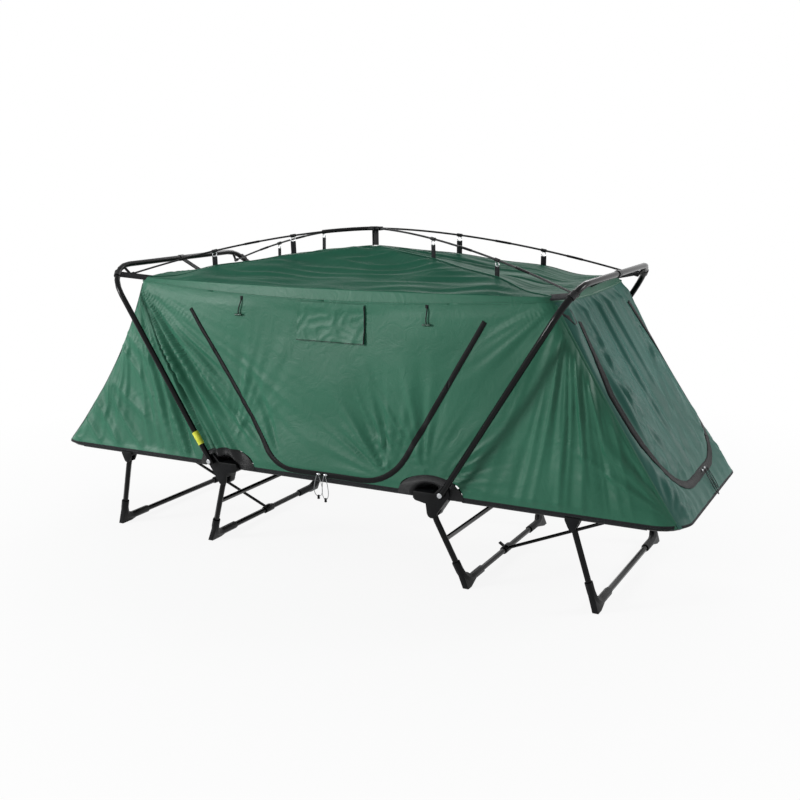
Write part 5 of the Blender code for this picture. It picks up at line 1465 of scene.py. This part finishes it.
# %% Door toggles
BAR_LENGTH, BAR_RADIUS, LOOP_RADIUS = 0.027, 0.0036, 1.9 * MM
for letter, top, bottom, joint in (
    ("a", (-0.318, 0.861), (-0.327, 0.806), "head_fold"),
    ("c", (0.358, 0.867), (0.362, 0.812), "foot_fold"),
):
    def loop_point(share):
        x = lerp(top[0], bottom[0], share) + 0.0015 * math.sin(6 * share)
        spot = on_near(x, lerp(top[1], bottom[1], share))
        return hug(near_face, spot, NEAR) + NEAR * lerp(0.0016, 0.0058, min(1, share * 2.5))

    line = trace(18, loop_point)
    loop = pipe(f"toggle_loop_{letter}", line, LOOP_RADIUS, elastic, sides=12)
    start = line[-1] + Vector((-BAR_LENGTH / 2, -0.0006, -0.002))
    profile = barrel(BAR_LENGTH, BAR_RADIUS)
    bar = turned(f"toggle_bar_{letter}", start, Vector((1, 0, 0.05)), profile, green_toggle)
    tab_line = [line[0] + Vector((0, 0.0012, 0.004 - 0.003 * k)) for k in range(5)]
    tab = ribbon(f"toggle_tab_{letter}", tab_line, NEAR, 0.010, 0.0014, webbing, near_face)
    for piece in (loop, bar, tab):
        settle(piece, "near_door", joint, "webbing")
    declare_cord(loop, line)

# %% [markdown]
# ## Zip sliders and their pull cords
# Two sliders meet at the lowest place of each zip. Each has a loop of thin cord to
# pull it by. On the near door the cords are pale, and a small lock closes each.

# %% Zip sliders and pull cords
SLIDER_LENGTH, BRIDGE_RISE, BRIDGE_WIRE = 0.013, 0.0075, 0.8 * MM
SLIDER = [(0, 0.0022), (0.0008, 0.0034), (0.004, 0.0044), (0.0075, 0.0034), (0.0122, 0.0026), (0.013, 0.0018)]
LOCK_LENGTH, LOCK_RADIUS = 0.013, 0.0042


def slider(name, place, out, along):
    """A slider's body: a low waisted bar across the coil, with its bridge."""
    start = place - along * (SLIDER_LENGTH / 2) + out * 0.0022
    body = turned(f"{name}_body", start, along, SLIDER, zinc, sides=14)
    feet = ((-0.004, 0.004), (-0.004, BRIDGE_RISE), (0.004, BRIDGE_RISE), (0.004, 0.004))
    line = bend([place + along * a + out * b for a, b in feet], [0, 0.002, 0.002, 0], 4)
    return join(name, [body, pipe(f"{name}_bridge", line, BRIDGE_WIRE, zinc, sides=8)])


def pull_loop(start, side, drop, wide, long):
    """A teardrop of cord that hangs from a slider's bridge."""
    def point(share):
        aside = lerp(-0.0032, 0.0032, share) - wide / 2 * math.sin(2 * math.pi * share)
        return start + side * aside + drop * long * math.sin(math.pi * share)
    return trace(28, point)


# Name, place along the bed, length and width of the loop, and its turn
NEAR_LOOPS = (("left", -0.016, 0.072, 0.026, 0.10), ("right", 0.010, 0.080, 0.022, -0.12))
for name, x, long, wide, turn in NEAR_LOOPS:
    cloth = hug(near_face, on_near(x, DOOR_FOOT_LEFT[1] + 0.0005), NEAR)
    body = slider(f"near_slider_{name}", cloth + NEAR * 0.0026, NEAR, FOOTWARD)
    start = cloth + NEAR * 0.0118 + DOWN * 0.001
    side = Vector((math.cos(turn), math.sin(turn), 0))
    line = pull_loop(start, side, Vector((0, 0.04, -1)).normalized(), wide, long)
    loop = pipe(f"near_pull_{name}", line, 1.1 * MM, pale_cord, sides=10)
    lock_start = line[len(line) // 2] + UPWARD * 0.004
    profile = barrel(LOCK_LENGTH, LOCK_RADIUS)
    lock = turned(f"near_pull_lock_{name}", lock_start, DOWN, profile, nylon_black)
    for piece in (body, loop, lock):
        settle(piece, "centre")
    declare_cord(loop, line)

END_SLOPE, END_OUT = Vector((0.539, 0, -0.842)), Vector((0.842, 0, 0.539))
for name, y, long in (("left", 0.030, 0.086), ("right", 0.058, 0.072)):
    cloth = hug(foot_face, on_end(y, FOOT_FLANK[-1][1]), FOOTWARD)
    body = slider(f"foot_slider_{name}", cloth + END_OUT * 0.003, END_OUT, FAR)
    line = pull_loop(cloth + END_OUT * 0.0125, FAR, END_SLOPE, 0.014, long)
    loop = pipe(f"foot_pull_{name}", line, 1.2 * MM, elastic, sides=10)
    for piece in (body, loop):
        settle(piece, "foot_section", "foot_fold")
    declare_cord(loop, line)

# %% [markdown]
# ## Marker band and corner patches
# A yellow vinyl band is wrapped round the head hoop near its foot. It marks where
# fingers must stay clear when the bed folds. A small black patch strengthens the
# cloth under the tie at each foot corner.

# %% Marker band and corner patches
BAND_START, BAND_LENGTH = 0.064, 0.048
tube_way = Vector((-math.sin(LEAN), 0, math.cos(LEAN)))
tube_foot = Vector((-HINGE_REACH, -HOOP_OFFSET, PIVOT_HEIGHT))
bare, wrapped, doubled = HOOP_RADIUS - 0.0004, HOOP_RADIUS + 0.0011, HOOP_RADIUS + 0.0015
profile = [(0, bare), (0.0003, wrapped), (0.022, wrapped), (0.0225, doubled), (0.0475, doubled)]
profile.append((BAND_LENGTH, bare))
band = turned("marker_band", tube_foot + tube_way * BAND_START, tube_way, profile, yellow_tape, sides=32)
settle(band, "head_hoop")

for flank, flank_name in FLANKS:
    top, foot = Vector((0.80, flank * 0.296, 0.868)), Vector((0.80, flank * 0.288, 0.832))
    line = trace(10, lambda share: top.lerp(foot, share))
    taper = (lambda share: lerp(0.034, 0.012, share))
    patch = ribbon(f"corner_patch_{flank_name}", line, FOOTWARD, taper, 0.0010, patch_cloth, foot_face)
    settle(patch, "foot_section", "foot_fold", "webbing")
    print(patch.name, "on the foot wall")

# %% [markdown]
# ## Bed cloth
# The bed is three slings of heavy cloth, each with a sleeve on either rail. The
# cloth is drawn tight between the rails, so only a trace of sag and ripple is left.
# The outer ends are rounded to go between the bends of the end frames.

# %% Bed cloth
SLEEVE_RADIUS = 0.0127
SHEET_HEIGHT = RAIL_HEIGHT + 0.0128 * 0.8 + 0.0006
SHEET_HALF, SHEET_CORNER, SLEEVE_WRAP = 0.3292, 0.064, 0.16
# Name, body, ends of the cloth, ends of its sleeves, and which end is rounded
SLINGS = (
    ("centre", "centre", -0.420, 0.420, -0.331, 0.331, 0),
    ("head", "head_section", -1.1195, -0.444, -1.044, -0.484, -1),
    ("foot", "foot_section", 0.444, 1.1195, 0.484, 1.044, 1),
)


def sling_point(u, v, low, high, rounding):
    x, y = lerp(low, high, (u + 1) / 2), lerp(-SHEET_HALF, SHEET_HALF, v)
    from_end = (1 - (1 + u * rounding) / 2) * (high - low)
    if rounding and from_end < SHEET_CORNER:
        bow = math.sqrt(max(0.0, SHEET_CORNER**2 - (SHEET_CORNER - from_end) ** 2))
        y *= 1 - (SHEET_CORNER - bow) / SHEET_HALF
    sag = 0.0015 * (1 - (y / SHEET_HALF) ** 2) * (1 - u**4)
    ripple = 0.0008 * noise.noise(Vector((x * 9, y * 5, 12))) * (1 - (y / SHEET_HALF) ** 4)
    return Vector((x, y, SHEET_HEIGHT - sag + ripple))


for name, body, low, high, sleeve_low, sleeve_high, rounding in SLINGS:
    lay = (lambda u, v: sling_point(u, v, low, high, rounding))
    sheet = add_sheet(f"sling_{name}_sheet", 60, 50, lay, bed_cloth)
    thicken(sheet, CLOTH)
    pieces = [sheet]
    for flank, flank_name in FLANKS:
        y = flank * RAIL_OFFSET
        line = trace(40, lambda share: Vector((lerp(sleeve_low, sleeve_high, share), y, RAIL_HEIGHT)))
        pieces.append(pipe(f"sleeve_{name}_{flank_name}", line, SLEEVE_RADIUS, bed_cloth, sides=24))
    sling = join(f"sling_{name}_cloth", pieces)
    settle(sling, body, slot="sling_cloth", nodes=[f"sling_{name}"])
    print("sling", name, round(high - low, 3), "m")

# %% [markdown]
# ## Half-round gussets over the hinges
# A black gusset is sewn into each half-round opening and runs in behind the hinge
# block, so that rain and insects stay out while the hinge keeps its room.

# %% Gussets
GUSSET_OUTER, GUSSET_INNER, GUSSET_CLOTH = 1.05, 0.16, 1.0 * MM


def gusset_point(u, v, side, flank):
    angle = math.pi * (u + 1) / 2
    share = lerp(GUSSET_OUTER, GUSSET_INNER, v)
    x = side * ARCH_MIDDLE + ARCH_HALF * share * math.cos(angle)
    z = PIVOT_HEIGHT - 0.020 * (1 - math.sin(angle)) + ARCH_TOP * share * math.sin(angle)
    bulge = 0.0016 + 0.009 * math.sin(math.pi * min(1.0, v * 1.15)) - 0.07 * max(0.0, v - 0.55)
    face = near_face if flank < 0 else far_face
    outer = hug(face, on_near(x, max(z, 0.292), flank), Vector((0, flank, 0)))
    return Vector((x, flank * (abs(outer.y) + bulge), z))


for side, flank, place in CORNERS:
    lay = (lambda u, v: gusset_point(u, v, side, flank))
    gusset = add_sheet(f"gusset_{place}", 40, 10, lay, patch_cloth)
    thicken(gusset, GUSSET_CLOTH)
    settle(gusset, "centre", "head_fold" if side < 0 else "foot_fold", "webbing")
print("gussets", len(CORNERS))
